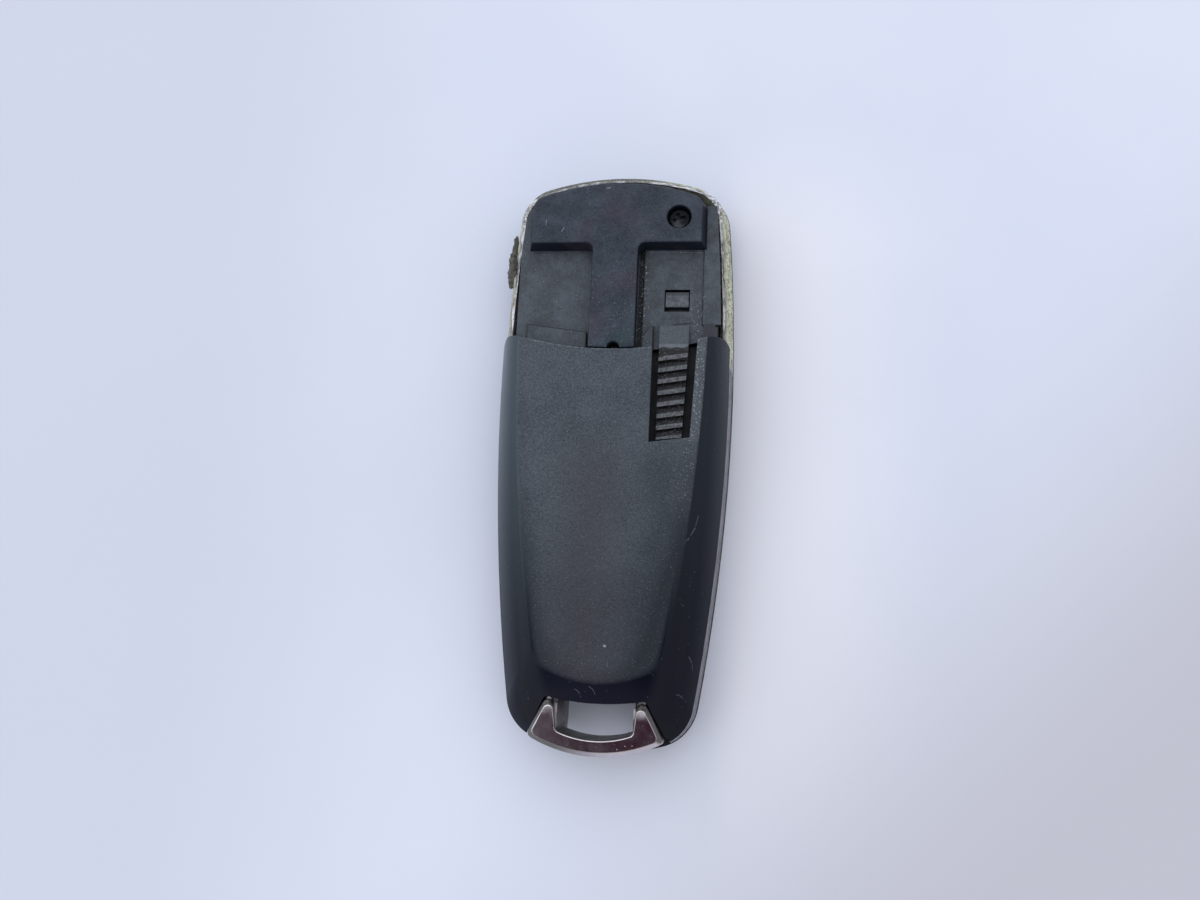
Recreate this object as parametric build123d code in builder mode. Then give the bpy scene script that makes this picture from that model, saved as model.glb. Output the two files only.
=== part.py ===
from build123d import *
import math
import os

# The key lies on its button face, +Y towards the slot end, back up. Millimetres.

# Plan outline at the widest line, where the frame meets the front shell
end_y = 40.65
side_half = 16.5
side_radius = 276.0
crown_y = 10.6
top_rise = 3.25
bottom_rise = 2.45
corner_radius = 6.5

# General walls and gaps
wall = 1.2
fit_gap = 0.1
slide_gap = 0.15
move_gap = 0.3

# Front shell
shell_height = 4.2
shell_round = 3.9

# Metallised frame round the edge
frame_gap = 0.05
frame_height = 3.55
frame_step = 0.1
frame_lean = 0.95
rim_width = 0.6
frame_foot_inset = 2.2
frame_foot_height = 0.95

# Chassis
body_base_inset = 1.9
body_top_inset = 2.45
body_edge = 0.3
floor_z = 11.1
roof_wall = 1.2
tray_ceiling_z = 8.75
tray_wall = 0.6
tray_inset = 3.7
tray_side_wall = 0.9
body_end_gap = 1.0
pad_height = 0.6
margin_height = 0.25
margin_inset = 1.85
margin_x = 12.1
margin_y = 16.4
roof_half = 13.57
roof_corner_x = 12.65
roof_corner_y = 30.2
roof_end_y = 33.6
tab_inset = 3.35
tab_left_x = -6.3
tab_width = 13.7
pad_left_x = -12.0
pad_left_y = 16.3
pad_stem_y = 15.2
rib_x = 4.0
rib_width = 1.5
rib_end_y = 16.1
edge_pad_x = 12.35
edge_pad_width = 1.4
stem_groove_width = 0.75
stem_groove_depth = 0.5

# Rear cover
back_z = 13.2
cover_edge_height = 0.4
cover_edge_inset = 0.6
cover_corner = 1.0
cover_edge = 0.2
cover_end_y = 12.45
cover_end_rise = 2.85
cover_bottom_y = -33.8
cover_bottom_rise = 0.4
plate_inset = 3.74
plate_crown_y = 23.0
plate_radius = 290.0
plate_bottom_y = -31.4
plate_rise = 2.6
plate_corner = 4.5
band_drop = 1.8
band_inset = 2.1
band_crown_y = 18.0
band_bottom_y = -36.6
room_side_wall = 2.3
room_top_wall = 0.7
room_rise = 1.0
room_corner = 3.0

# T-shaped plate and its screw
plate_edge = 0.25
head_half = 12.35
head_lean = 0.65
head_bottom_y = 27.2
head_wall_lean = 0.38
head_shoulder_y = 34.0
head_top_y = 36.27
head_corner = 1.6
stem_half = 3.15
stem_fillet = 1.0
notch_x = 0.3
notch_radius = 0.85
screw_x = 8.61
screw_y = 31.23
screw_hole_diameter = 3.3
screw_head_diameter = 2.9
screw_head_height = 0.8
screw_seat_z = 11.6
screw_diameter = 1.6
screw_end_z = 1.9
cross_length = 1.8
cross_width = 0.5
cross_turn = 20.0

# Emergency key
horn_top_z = 12.6
horn_tip_y = -33.6
horn_tip_radius = 0.75
loop_slope = 9.3
loop_base_z = 4.5
window_half = 4.9
horn_inner_slope = 0.094
horn_outer_x = 8.2
horn_outer_y = -37.9
horn_outer_slope = 0.5185
bar_outer_y = -39.85
bar_inner_y = -38.3
bar_inner_corner_y = -37.35
loop_bulge = 0.8
loop_bevel = 0.6
loop_edge = 0.2
bulge_z = 9.0
bar_base_z = 6.6
crossbar_base_z = 8.4
crossbar_top_z = 11.3
crossbar_half = 6.4
crossbar_end_y = -29.6
blade_width = 8.0
blade_thickness = 1.8
blade_length = 43.0
blade_z = 9.4
blade_root = 3.2
blade_tip = 2.6
blade_groove_width = 2.4
blade_groove_depth = 0.5
crossbar_depth = 3.9
pin_diameter = 1.5
pin_spacing = 4.4

# Release slider and its spring
slot_left_x = 5.6
slot_right_x = 10.91
slot_bottom_y = -0.22
slot_bottom_rise = 0.72
slot_right_slope = 0.05
slider_left_x = 6.4
slider_width = 3.95
slider_taper = 0.55
slider_bottom_y = 0.3
slider_top_y = 16.1
tail_lap = 0.55
slider_z = 11.9
tail_z = 11.75
ridge_pitch = 1.58
ridge_depth = 0.55
ridge_turn = 8.5
ridge_count = 8
ridge_run = 1.05
slider_travel = 2.0
slider_shelf_z = 10.1
keel_width = 1.3
keel_length = 7.5
spring_diameter = 1.2
spring_wire = 0.24
spring_turns = 9
spring_z = 9.25
spring_length = 5.4
shelf_base_z = 7.9
shelf_width = 6.3
shelf_margin = 2.8

# Window with the catch block
window_left_x = 6.87
window_width = 3.45
window_bottom_y = 18.27
window_height = 3.2
block_gap = 0.7
block_edge = 0.15
block_base_z = 9.2

# Buttons, their switches and the seal
button_width = 15.0
button_height = 10.0
button_corner = 3.0
button_recess = 0.4
button_travel = 0.4
flange_margin = 0.8
flange_thickness = 0.6
button_edge = 0.3
stem_diameter = 2.4
button_ys = {"lock": 22.0, "unlock": 8.0, "boot": -6.0}
plunger_diameter = 1.7
plunger_height = 0.75
switch_size = 4.6
switch_height = 1.2
switch_corner = 0.4
mat_z = 2.35
mat_thickness = 0.3
mat_inset = 1.8
post_x = 9.0
post_y = -27.0
post_diameter = 2.4
post_step = 0.6
boss_diameter = 3.2

# Board, battery and antenna
board_z = 4.3
board_thickness = 0.8
board_inset = 2.5
contact_thickness = 0.25
contact_diameter = 8.0
leaf_gap = 0.7
leaf_width = 3.2
clip_foot = 1.6
clip_width = 6.0
clip_height = 2.9
battery_y = -14.0
battery_diameter = 20.0
battery_thickness = 3.2
battery_step = 0.3
core_length = 12.0
core_width = 4.0
core_height = 2.2
coil_wall = 0.7
flange_length = 1.5
antenna_gap = 1.7
antenna_x = -4.0
chip_size = 7.0
chip_height = 1.0
chip_bevel = 0.2
chip_y = 5.5
crystal_length = 4.8
crystal_width = 2.0
crystal_height = 1.2

# Heights and lines that follow from them
body_end_y = horn_tip_y + body_end_gap
frame_base_z = shell_height + frame_gap
rim_z = frame_base_z + frame_height
body_base_z = frame_base_z + frame_foot_height + fit_gap
cover_base_z = rim_z + fit_gap
end_shelf_z = body_base_z + wall
end_pocket_z = rim_z - slide_gap
tray_z = tray_ceiling_z + tray_wall
board_top_z = board_z + board_thickness
battery_z = board_top_z + contact_thickness + frame_gap
clip_x = battery_diameter / 2 + frame_gap + contact_thickness
leaf_length = 2 * (clip_x - clip_foot - leaf_gap)
ceiling_z = back_z - wall
band_z = back_z - band_drop
band_half = side_half - band_inset
plate_half = side_half - plate_inset
pad_z = floor_z + pad_height
pad_stem_x = -stem_half - stem_fillet / 2
margin_z = floor_z + margin_height
flange_z = wall + fit_gap
plunger_z = board_z - switch_height - button_travel - fit_gap
pit_z = plunger_z + plunger_height + button_travel + fit_gap
loop_room_half = horn_outer_x + loop_bulge + move_gap
mouth_half = window_half + move_gap
mouth_corner_y = cover_bottom_y + cover_bottom_rise
cover_corner_y = cover_end_y + cover_end_rise - cover_edge_inset - cover_corner
cover_corner_x = side_half - cover_edge_inset - cover_corner
rail_half = blade_width / 2 + slide_gap + wall
slider_x = slider_left_x + slider_width / 2
groove_half = keel_width / 2 + fit_gap
ridge_start_y = slider_bottom_y + ridge_pitch / 3
spring_start_y = slider_bottom_y + keel_length
spring_end_y = spring_start_y + spring_length + 2 * spring_wire
base_end_y = cover_end_y + 2 * slide_gap - slider_travel
coil_length = core_length - 2 * flange_length
antenna_y = roof_end_y - wall - antenna_gap - core_width / 2 - coil_wall
pin_places = [(side * pin_spacing / 2, crossbar_end_y - blade_root / 2, crossbar_base_z) for side in (-1, 1)]
button_places = [(0, y) for y in button_ys.values()]
post_places = [(-screw_x, screw_y), (-post_x, post_y), (post_x, post_y)]
deep = 30.0
far = 60.0
on_base = (Align.CENTER, Align.CENTER, Align.MIN)
from_corner = (Align.MIN, Align.MIN, Align.MIN)
from_edge = (Align.CENTER, Align.MIN, Align.MIN)


def arc_x(y, half, crown, radius):
    """Half width at y of an outline whose sides are arcs."""
    return half - radius + math.sqrt(radius**2 - (y - crown) ** 2)


def key_outline(z, inset=0.0):
    """The key's plan outline at a height, inset from its widest line."""
    top_shoulder = end_y - top_rise
    bottom_shoulder = bottom_rise - end_y
    top_x = arc_x(top_shoulder, side_half, crown_y, side_radius)
    bottom_x = arc_x(bottom_shoulder, side_half, crown_y, side_radius)
    with BuildSketch(Plane.XY.offset(z)) as plan:
        with BuildLine():
            ThreePointArc((bottom_x, bottom_shoulder), (side_half, crown_y), (top_x, top_shoulder))
            ThreePointArc((top_x, top_shoulder), (0, end_y), (-top_x, top_shoulder))
            ThreePointArc((-top_x, top_shoulder), (-side_half, crown_y), (-bottom_x, bottom_shoulder))
            ThreePointArc((-bottom_x, bottom_shoulder), (0, -end_y), (bottom_x, bottom_shoulder))
        make_face()
        fillet(plan.vertices(), radius=corner_radius)
        if inset:
            offset(amount=-inset, kind=Kind.INTERSECTION)
    return plan.sketch


def cover_section(z, half, crown, radius, bottom, rise, corner):
    """A plan section of the cover, straight across its open end."""
    open_y = cover_end_y + 2 * cover_end_rise
    shoulder = bottom + rise
    top_x = arc_x(open_y, half, crown, radius)
    bottom_x = arc_x(shoulder, half, crown, radius)
    middle = (open_y + shoulder) / 2
    middle_x = arc_x(middle, half, crown, radius)
    with BuildSketch(Plane.XY.offset(z)) as section:
        with BuildLine():
            ThreePointArc((bottom_x, shoulder), (middle_x, middle), (top_x, open_y))
            Line((top_x, open_y), (-top_x, open_y))
            ThreePointArc((-top_x, open_y), (-middle_x, middle), (-bottom_x, shoulder))
            ThreePointArc((-bottom_x, shoulder), (0, bottom), (bottom_x, shoulder))
        make_face()
        fillet(section.vertices().group_by(Axis.Y)[0], radius=corner)
    return section.sketch


def cover_end_area(z, gap, reach):
    """The plan area on one side of the cover's curved upper edge."""
    edge_y = cover_end_y + gap
    corner_y = edge_y + cover_end_rise
    with BuildSketch(Plane.XY.offset(z)) as area:
        with BuildLine():
            ThreePointArc((-side_half, corner_y), (0, edge_y), (side_half, corner_y))
            Polyline((side_half, corner_y), (side_half, reach), (-side_half, reach), (-side_half, corner_y))
        make_face()
    return area.sketch


def loop_plane(tip_z):
    """The loop's sloping plane that is at tip_z over the horns' tips."""
    slope = math.radians(loop_slope)
    return Plane(
        origin=(0, 0, tip_z - horn_tip_y * math.tan(slope)),
        x_dir=(1, 0, 0),
        z_dir=(0, -math.sin(slope), math.cos(slope)),
    )


def loop_section(plane, grow):
    """The loop's plan on a level or sloping plane, its outer line moved out by grow."""
    stretch = 1 / plane.z_dir.Z
    corner_x = horn_outer_x + grow
    corner_y = (horn_outer_y - grow / 2) * stretch
    apex_rise = (corner_x - window_half) / (horn_outer_slope + horn_inner_slope)
    apex_x = window_half + apex_rise * horn_inner_slope
    apex_y = corner_y + apex_rise * stretch
    inner_y = bar_inner_corner_y * stretch
    with BuildSketch(plane) as section:
        with BuildLine():
            Polyline((corner_x, corner_y), (apex_x, apex_y), (window_half, inner_y))
            ThreePointArc((window_half, inner_y), (0, bar_inner_y * stretch), (-window_half, inner_y))
            Polyline((-window_half, inner_y), (-apex_x, apex_y), (-corner_x, corner_y))
            ThreePointArc((-corner_x, corner_y), (0, (bar_outer_y - grow) * stretch), (corner_x, corner_y))
        make_face()
        fillet(section.vertices(), radius=horn_tip_radius)
    return section.sketch


def plate_section(z, lean):
    """Plan section of the T-shaped plate, its head's sides moved out by lean."""
    half = head_half - head_lean + lean
    bottom = head_bottom_y + head_wall_lean * (1 - lean / head_lean)
    stem_edge = stem_half + fit_gap
    with BuildSketch(Plane.XY.offset(z)) as section:
        with BuildLine():
            Polyline(
                (-half, head_shoulder_y),
                (-half, bottom),
                (-stem_half, bottom),
                (-stem_half, cover_end_y),
                (stem_half, cover_end_y),
                (stem_half, bottom),
                (half, bottom),
                (half, head_shoulder_y),
            )
            ThreePointArc((half, head_shoulder_y), (0, head_top_y + lean), (-half, head_shoulder_y))
        make_face()
        fillet(section.vertices().group_by(Axis.Y)[-1], radius=head_corner)
        stem_corners = section.vertices().filter_by_position(Axis.X, -stem_edge, stem_edge)
        fillet(stem_corners.group_by(Axis.Y)[-1], radius=stem_fillet)
    return section.sketch


def roof_tab(z):
    """Plan area of the tab that the chassis shows above the head."""
    with BuildSketch(Plane.XY.offset(z)) as tab:
        add(key_outline(z, tab_inset))
        with Locations((tab_left_x, head_bottom_y)):
            Rectangle(tab_width, far, align=(Align.MIN, Align.MIN), mode=Mode.INTERSECT)
    return tab.sketch


os.makedirs("parts", exist_ok=True)


# Room for the loop and its way out, taken from every piece of the housing
with BuildPart() as loop_room:
    extrude(loop_section(Plane.XY.offset(frame_base_z), loop_bulge + slide_gap), amount=deep)
    with BuildSketch(Plane.XY.offset(frame_base_z)):
        with Locations((0, horn_outer_y)):
            Rectangle(2 * loop_room_half, far, align=(Align.CENTER, Align.MAX))
    extrude(amount=deep)
    with BuildSketch(Plane.XY.offset(-deep)):
        with BuildLine():
            ThreePointArc((-mouth_half, mouth_corner_y), (0, cover_bottom_y), (mouth_half, mouth_corner_y))
            Polyline(
                (mouth_half, mouth_corner_y),
                (mouth_half, -far),
                (-mouth_half, -far),
                (-mouth_half, mouth_corner_y),
            )
        make_face()
    extrude(amount=2 * deep)


# Front shell: a shallow dish with three button windows, stepped posts and a screw boss
with BuildPart() as shell_room:
    extrude(key_outline(wall, wall), amount=shell_height)
    fillet(shell_room.faces().sort_by(Axis.Z)[0].edges(), radius=shell_round - wall)
    with Locations((0, body_end_y)):
        Box(far, far, far, align=(Align.CENTER, Align.MAX, Align.CENTER), mode=Mode.SUBTRACT)

with BuildPart() as front_shell:
    extrude(key_outline(0), amount=shell_height)
    fillet(front_shell.faces().sort_by(Axis.Z)[0].edges(), radius=shell_round)
    add(shell_room.part, mode=Mode.SUBTRACT)
    with BuildSketch():
        with Locations(*button_places):
            RectangleRounded(button_width, button_height, button_corner)
    extrude(amount=wall, mode=Mode.SUBTRACT)
    with BuildSketch(Plane.XY.offset(wall / 2)):
        with Locations(*post_places):
            Circle(post_diameter / 2 + post_step)
        with Locations((screw_x, screw_y)):
            Circle(boss_diameter / 2 + post_step)
    extrude(amount=mat_z - wall / 2)
    with BuildSketch(Plane.XY.offset(wall / 2)):
        with Locations(*post_places):
            Circle(post_diameter / 2)
        with Locations((screw_x, screw_y)):
            Circle(boss_diameter / 2)
    extrude(amount=board_z - wall / 2)
    with BuildSketch(Plane.XY.offset(board_z)):
        with Locations((screw_x, screw_y)):
            Circle(screw_diameter / 2)
    extrude(amount=screw_end_z - board_z - fit_gap, mode=Mode.SUBTRACT)
    add(loop_room.part, mode=Mode.SUBTRACT)
front_shell.part.label = "front_shell"
export_step(front_shell.part, "parts/front_shell.step")


# Buttons, each with a flange behind the shell and a stem through the seal
for name, y in button_ys.items():
    with BuildPart() as button:
        with BuildSketch(Plane.XY.offset(button_recess)):
            with Locations((0, y)):
                RectangleRounded(
                    button_width - 2 * slide_gap, button_height - 2 * slide_gap, button_corner - slide_gap
                )
        extrude(amount=flange_z - button_recess)
        fillet(button.faces().sort_by(Axis.Z)[0].edges(), radius=button_edge)
        with BuildSketch(Plane.XY.offset(flange_z)):
            with Locations((0, y)):
                RectangleRounded(
                    button_width + 2 * flange_margin,
                    button_height + 2 * flange_margin,
                    button_corner + flange_margin,
                )
        extrude(amount=flange_thickness)
        with BuildSketch(Plane.XY.offset(flange_z)):
            with Locations((0, y)):
                Circle(stem_diameter / 2)
        extrude(amount=plunger_z - flange_z)
    button.part.label = f"{name}_button"
    export_step(button.part, f"parts/{name}_button.step")

    with BuildPart() as plunger:
        with BuildSketch(Plane.XY.offset(plunger_z)):
            with Locations((0, y)):
                Circle(plunger_diameter / 2)
        extrude(amount=plunger_height)
    plunger.part.label = f"{name}_plunger"
    export_step(plunger.part, f"parts/{name}_plunger.step")

    with BuildPart() as switch:
        with BuildSketch(Plane.XY.offset(board_z)):
            with Locations((0, y)):
                Rectangle(switch_size, switch_size)
        extrude(amount=-switch_height)
        chamfer(switch.edges().filter_by(Axis.Z), length=switch_corner)
        with BuildSketch(Plane.XY.offset(board_z - switch_height)):
            with Locations((0, y)):
                Circle(plunger_diameter / 2 + fit_gap)
        extrude(amount=pit_z - board_z + switch_height, mode=Mode.SUBTRACT)
    switch.part.label = f"{name}_switch"
    export_step(switch.part, f"parts/{name}_switch.step")


# Silicone seal on the posts' steps, open round the stems and posts
with BuildPart() as button_mat:
    with BuildSketch(Plane.XY.offset(mat_z)) as mat_plan:
        add(key_outline(mat_z, mat_inset))
        with Locations((0, body_end_y)):
            Rectangle(far, far, align=(Align.CENTER, Align.MAX), mode=Mode.SUBTRACT)
        with Locations(*button_places):
            Circle(stem_diameter / 2 + move_gap, mode=Mode.SUBTRACT)
        with Locations(*post_places):
            Circle(post_diameter / 2 + fit_gap, mode=Mode.SUBTRACT)
        with Locations((screw_x, screw_y)):
            Circle(boss_diameter / 2 + fit_gap, mode=Mode.SUBTRACT)
    extrude(amount=mat_thickness)
button_mat.part.label = "button_mat"
export_step(button_mat.part, "parts/button_mat.step")


# Circuit board on the posts and the switches
with BuildPart() as circuit_board:
    with BuildSketch(Plane.XY.offset(board_z)):
        add(key_outline(board_z, board_inset))
        with Locations((0, body_end_y + fit_gap)):
            Rectangle(far, far, align=(Align.CENTER, Align.MAX), mode=Mode.SUBTRACT)
        with Locations((screw_x, screw_y)):
            Circle(screw_diameter / 2 + fit_gap, mode=Mode.SUBTRACT)
    extrude(amount=board_thickness)
circuit_board.part.label = "circuit_board"
export_step(circuit_board.part, "parts/circuit_board.step")

with BuildPart() as controller_chip:
    with Locations((0, chip_y, board_top_z)):
        Box(chip_size, chip_size, chip_height, align=on_base)
    chamfer(controller_chip.faces().sort_by(Axis.Z)[-1].edges(), length=chip_bevel)
controller_chip.part.label = "controller_chip"
export_step(controller_chip.part, "parts/controller_chip.step")

with BuildPart() as crystal:
    with BuildSketch(Plane.XY.offset(board_top_z)):
        with Locations((chip_size, chip_y)):
            SlotOverall(crystal_length, crystal_width)
    extrude(amount=crystal_height)
crystal.part.label = "crystal"
export_step(crystal.part, "parts/crystal.step")


# Coin cell between a leaf on the board and a clip at its rim
with BuildPart() as battery:
    with BuildSketch(Plane.XY.offset(battery_z)):
        with Locations((0, battery_y)):
            Circle(battery_diameter / 2 - battery_step)
    extrude(amount=battery_step)
    with BuildSketch(Plane.XY.offset(battery_z + battery_step)):
        with Locations((0, battery_y)):
            Circle(battery_diameter / 2)
    extrude(amount=battery_thickness - battery_step)
    fillet(battery.faces().sort_by(Axis.Z)[-1].edges(), radius=battery_step)
battery.part.label = "battery"
export_step(battery.part, "parts/battery.step")

with BuildPart() as battery_contact:
    with BuildSketch(Plane.XY.offset(board_top_z)):
        with Locations((0, battery_y)):
            Circle(contact_diameter / 2)
            Rectangle(leaf_length, leaf_width)
    extrude(amount=contact_thickness)
battery_contact.part.label = "battery_contact"
export_step(battery_contact.part, "parts/battery_contact.step")

with BuildPart() as battery_clip:
    with Locations((clip_x, battery_y, board_top_z)):
        Box(clip_foot, clip_width, contact_thickness, align=(Align.MAX, Align.CENTER, Align.MIN))
        Box(contact_thickness, clip_width, clip_height, align=(Align.MAX, Align.CENTER, Align.MIN))
battery_clip.part.label = "battery_clip"
export_step(battery_clip.part, "parts/battery_clip.step")


# Transponder coil: a ferrite bobbin with the winding between its end flanges
with BuildPart() as antenna_core:
    with Locations((antenna_x, antenna_y, board_top_z + coil_wall)):
        Box(core_length, core_width, core_height, align=on_base)
    flange_places = [
        (antenna_x + side * (core_length - flange_length) / 2, antenna_y, board_top_z) for side in (-1, 1)
    ]
    with Locations(*flange_places):
        Box(
            flange_length,
            core_width + 2 * coil_wall,
            core_height + 2 * coil_wall,
            align=on_base,
        )
antenna_core.part.label = "antenna_core"
export_step(antenna_core.part, "parts/antenna_core.step")

with BuildPart() as antenna_coil:
    with BuildSketch(Plane.YZ.offset(antenna_x - coil_length / 2)):
        with Locations((antenna_y, board_top_z + coil_wall + core_height / 2)):
            RectangleRounded(core_width + 2 * coil_wall, core_height + 2 * coil_wall, coil_wall)
            Rectangle(core_width, core_height, mode=Mode.SUBTRACT)
    extrude(amount=coil_length)
antenna_coil.part.label = "antenna_coil"
export_step(antenna_coil.part, "parts/antenna_coil.step")


# Metallised frame: leaning outer wall, flat rim and an inner foot, open at the loop
with BuildPart() as trim_frame:
    loft([key_outline(frame_base_z, frame_step), key_outline(rim_z, frame_lean)], ruled=True)
    extrude(
        key_outline(frame_base_z + frame_foot_height, frame_lean + rim_width),
        amount=frame_height,
        mode=Mode.SUBTRACT,
    )
    extrude(key_outline(frame_base_z, frame_foot_inset), amount=frame_height, mode=Mode.SUBTRACT)
    add(loop_room.part, mode=Mode.SUBTRACT)
trim_frame.part.label = "trim_frame"
export_step(trim_frame.part, "parts/trim_frame.step")


# Chassis: recessed roof at the slot end, a lower tray under the cover, rails for the blade
with BuildPart() as tray_room:
    extrude(key_outline(body_base_z, tray_inset + tray_side_wall), amount=tray_ceiling_z - body_base_z)
    with Locations((0, body_end_y + wall)):
        Box(far, far, far, align=(Align.CENTER, Align.MAX, Align.CENTER), mode=Mode.SUBTRACT)
    with Locations((0, cover_end_y - fit_gap)):
        Box(far, far, far, align=(Align.CENTER, Align.MIN, Align.CENTER), mode=Mode.SUBTRACT)

with BuildPart() as roof_room:
    extrude(key_outline(body_base_z, body_top_inset + wall), amount=floor_z - roof_wall - body_base_z)
    with Locations((0, cover_end_y + cover_end_rise)):
        Box(far, far, far, align=(Align.CENTER, Align.MAX, Align.CENTER), mode=Mode.SUBTRACT)
    with Locations((0, roof_end_y - wall)):
        Box(far, far, far, align=(Align.CENTER, Align.MIN, Align.CENTER), mode=Mode.SUBTRACT)

# Space round the recessed roof: it ends under the head, with a tab at the middle and one cut corner
with BuildPart() as roof_surround:
    with BuildSketch(Plane.XY.offset(end_shelf_z)):
        Rectangle(far, far, align=(Align.CENTER, Align.MIN))
        with BuildLine():
            Polyline(
                (-far, 0),
                (-far, cover_end_y),
                (-roof_half, cover_end_y),
                (-roof_half, roof_corner_y),
                (-roof_corner_x, roof_end_y),
                (far, roof_end_y),
                (far, 0),
                close=True,
            )
        make_face(mode=Mode.SUBTRACT)
        add(plate_section(end_shelf_z, head_lean), mode=Mode.SUBTRACT)
        add(roof_tab(end_shelf_z), mode=Mode.SUBTRACT)
    extrude(amount=deep)

with BuildPart() as inner_body:
    loft([key_outline(body_base_z, body_base_inset), key_outline(floor_z, body_top_inset)], ruled=True)
    fillet(inner_body.faces().sort_by(Axis.Z)[-1].edges(), radius=body_edge)
    add(roof_surround.part, mode=Mode.SUBTRACT)
    extrude(cover_end_area(tray_z, slide_gap, -far), amount=deep, mode=Mode.SUBTRACT)
    with BuildSketch(Plane.XY.offset(rim_z - slide_gap)):
        add(cover_end_area(rim_z - slide_gap, slide_gap, -far))
        add(key_outline(rim_z - slide_gap, tray_inset), mode=Mode.SUBTRACT)
    extrude(amount=deep, mode=Mode.SUBTRACT)
    with Locations((0, body_end_y)):
        Box(far, far, far, align=(Align.CENTER, Align.MAX, Align.CENTER), mode=Mode.SUBTRACT)
    with Locations((0, crossbar_end_y + move_gap, end_pocket_z)):
        Box(far, far, far, align=(Align.CENTER, Align.MAX, Align.MIN), mode=Mode.SUBTRACT)
    add(tray_room.part, mode=Mode.SUBTRACT)
    add(roof_room.part, mode=Mode.SUBTRACT)
    # Pocket for the coin cell and its clip
    with Locations((0, battery_y, body_base_z)):
        Cylinder(
            clip_x + slide_gap,
            tray_ceiling_z - body_base_z,
            align=on_base,
            mode=Mode.SUBTRACT,
        )
        Box(
            2 * (clip_x + fit_gap),
            clip_width + 2 * fit_gap,
            tray_ceiling_z - body_base_z,
            align=on_base,
            mode=Mode.SUBTRACT,
        )
    # Rails on both sides of the blade, closed at its tip
    with Locations((0, crossbar_end_y + move_gap, tray_z - tray_wall / 2)):
        Box(
            2 * rail_half,
            cover_end_y + cover_end_rise / 2 - crossbar_end_y - move_gap,
            floor_z - tray_z + tray_wall / 2,
            align=from_edge,
        )
        Box(
            2 * rail_half,
            cover_end_y - slide_gap - crossbar_end_y - move_gap,
            ceiling_z - slide_gap - tray_z + tray_wall / 2,
            align=from_edge,
        )
    with Locations((0, crossbar_end_y, blade_z - frame_gap)):
        Box(
            blade_width + 2 * slide_gap,
            blade_length - blade_root + move_gap,
            far,
            align=from_edge,
            mode=Mode.SUBTRACT,
        )
    # Shelf and keel groove of the slider
    with Locations((rail_half - fit_gap, slot_bottom_y - shelf_margin, shelf_base_z)):
        Box(
            shelf_width,
            cover_end_y + wall - slot_bottom_y + shelf_margin,
            slider_shelf_z - shelf_base_z,
            align=from_corner,
        )
    with Locations((slider_x, slider_bottom_y - fit_gap, spring_z - groove_half)):
        Box(
            2 * groove_half,
            spring_end_y - slider_bottom_y + fit_gap,
            far,
            align=from_edge,
            mode=Mode.SUBTRACT,
        )
    # Raised pads at the cover's edge and the raised right margin
    with BuildSketch(Plane.XY.offset(floor_z - roof_wall / 2)):
        with BuildLine():
            Polyline(
                (pad_left_x, 0),
                (pad_left_x, pad_left_y),
                (pad_stem_x, pad_stem_y),
                (pad_stem_x, 0),
                close=True,
            )
        make_face()
        with BuildLine():
            Polyline(
                (rib_x, 0),
                (rib_x, rib_end_y - rib_width),
                (rib_x + rib_width * 3 / 4, rib_end_y),
                (rib_x + rib_width, rib_end_y),
                (rib_x + rib_width, 0),
                close=True,
            )
        make_face()
        with Locations((edge_pad_x, 0)):
            Rectangle(edge_pad_width, margin_y, align=(Align.MIN, Align.MIN))
        add(cover_end_area(floor_z, slide_gap, -far), mode=Mode.SUBTRACT)
    extrude(amount=pad_z - floor_z + roof_wall / 2)
    with BuildSketch(Plane.XY.offset(floor_z - roof_wall / 2)):
        add(key_outline(floor_z, margin_inset))
        with Locations((margin_x, margin_y)):
            Rectangle(far, roof_end_y - margin_y, align=(Align.MIN, Align.MIN), mode=Mode.INTERSECT)
        add(plate_section(floor_z, head_lean + fit_gap), mode=Mode.SUBTRACT)
    extrude(amount=margin_z - floor_z + roof_wall / 2)
    # Window of the catch block, groove beside the stem, screw hole
    with Locations((window_left_x, window_bottom_y, floor_z - 2 * roof_wall)):
        Box(window_width, window_height, far, align=from_corner, mode=Mode.SUBTRACT)
    with Locations((stem_half + fit_gap, cover_end_y, floor_z - stem_groove_depth)):
        Box(
            stem_groove_width,
            head_bottom_y - cover_end_y,
            far,
            align=from_corner,
            mode=Mode.SUBTRACT,
        )
    with Locations((screw_x, screw_y, floor_z - 2 * roof_wall)):
        Cylinder(
            screw_diameter / 2 + fit_gap, far, align=on_base, mode=Mode.SUBTRACT
        )
inner_body.part.label = "inner_body"
export_step(inner_body.part, "parts/inner_body.step")


# Catch block, held in its window by a flange below the roof
with BuildPart() as catch_block:
    with Locations((window_left_x + fit_gap, window_bottom_y + block_gap, block_base_z)):
        Box(
            window_width - 2 * fit_gap,
            window_height - block_gap - move_gap,
            floor_z - fit_gap - block_base_z,
            align=from_corner,
        )
    fillet(catch_block.faces().sort_by(Axis.Z)[-1].edges(), radius=block_edge)
    with Locations((window_left_x - flange_margin, window_bottom_y - flange_margin, block_base_z)):
        Box(
            window_width + 2 * flange_margin,
            window_height + 2 * flange_margin,
            floor_z - roof_wall - block_base_z,
            align=from_corner,
        )
catch_block.part.label = "catch_block"
export_step(catch_block.part, "parts/catch_block.step")


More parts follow.
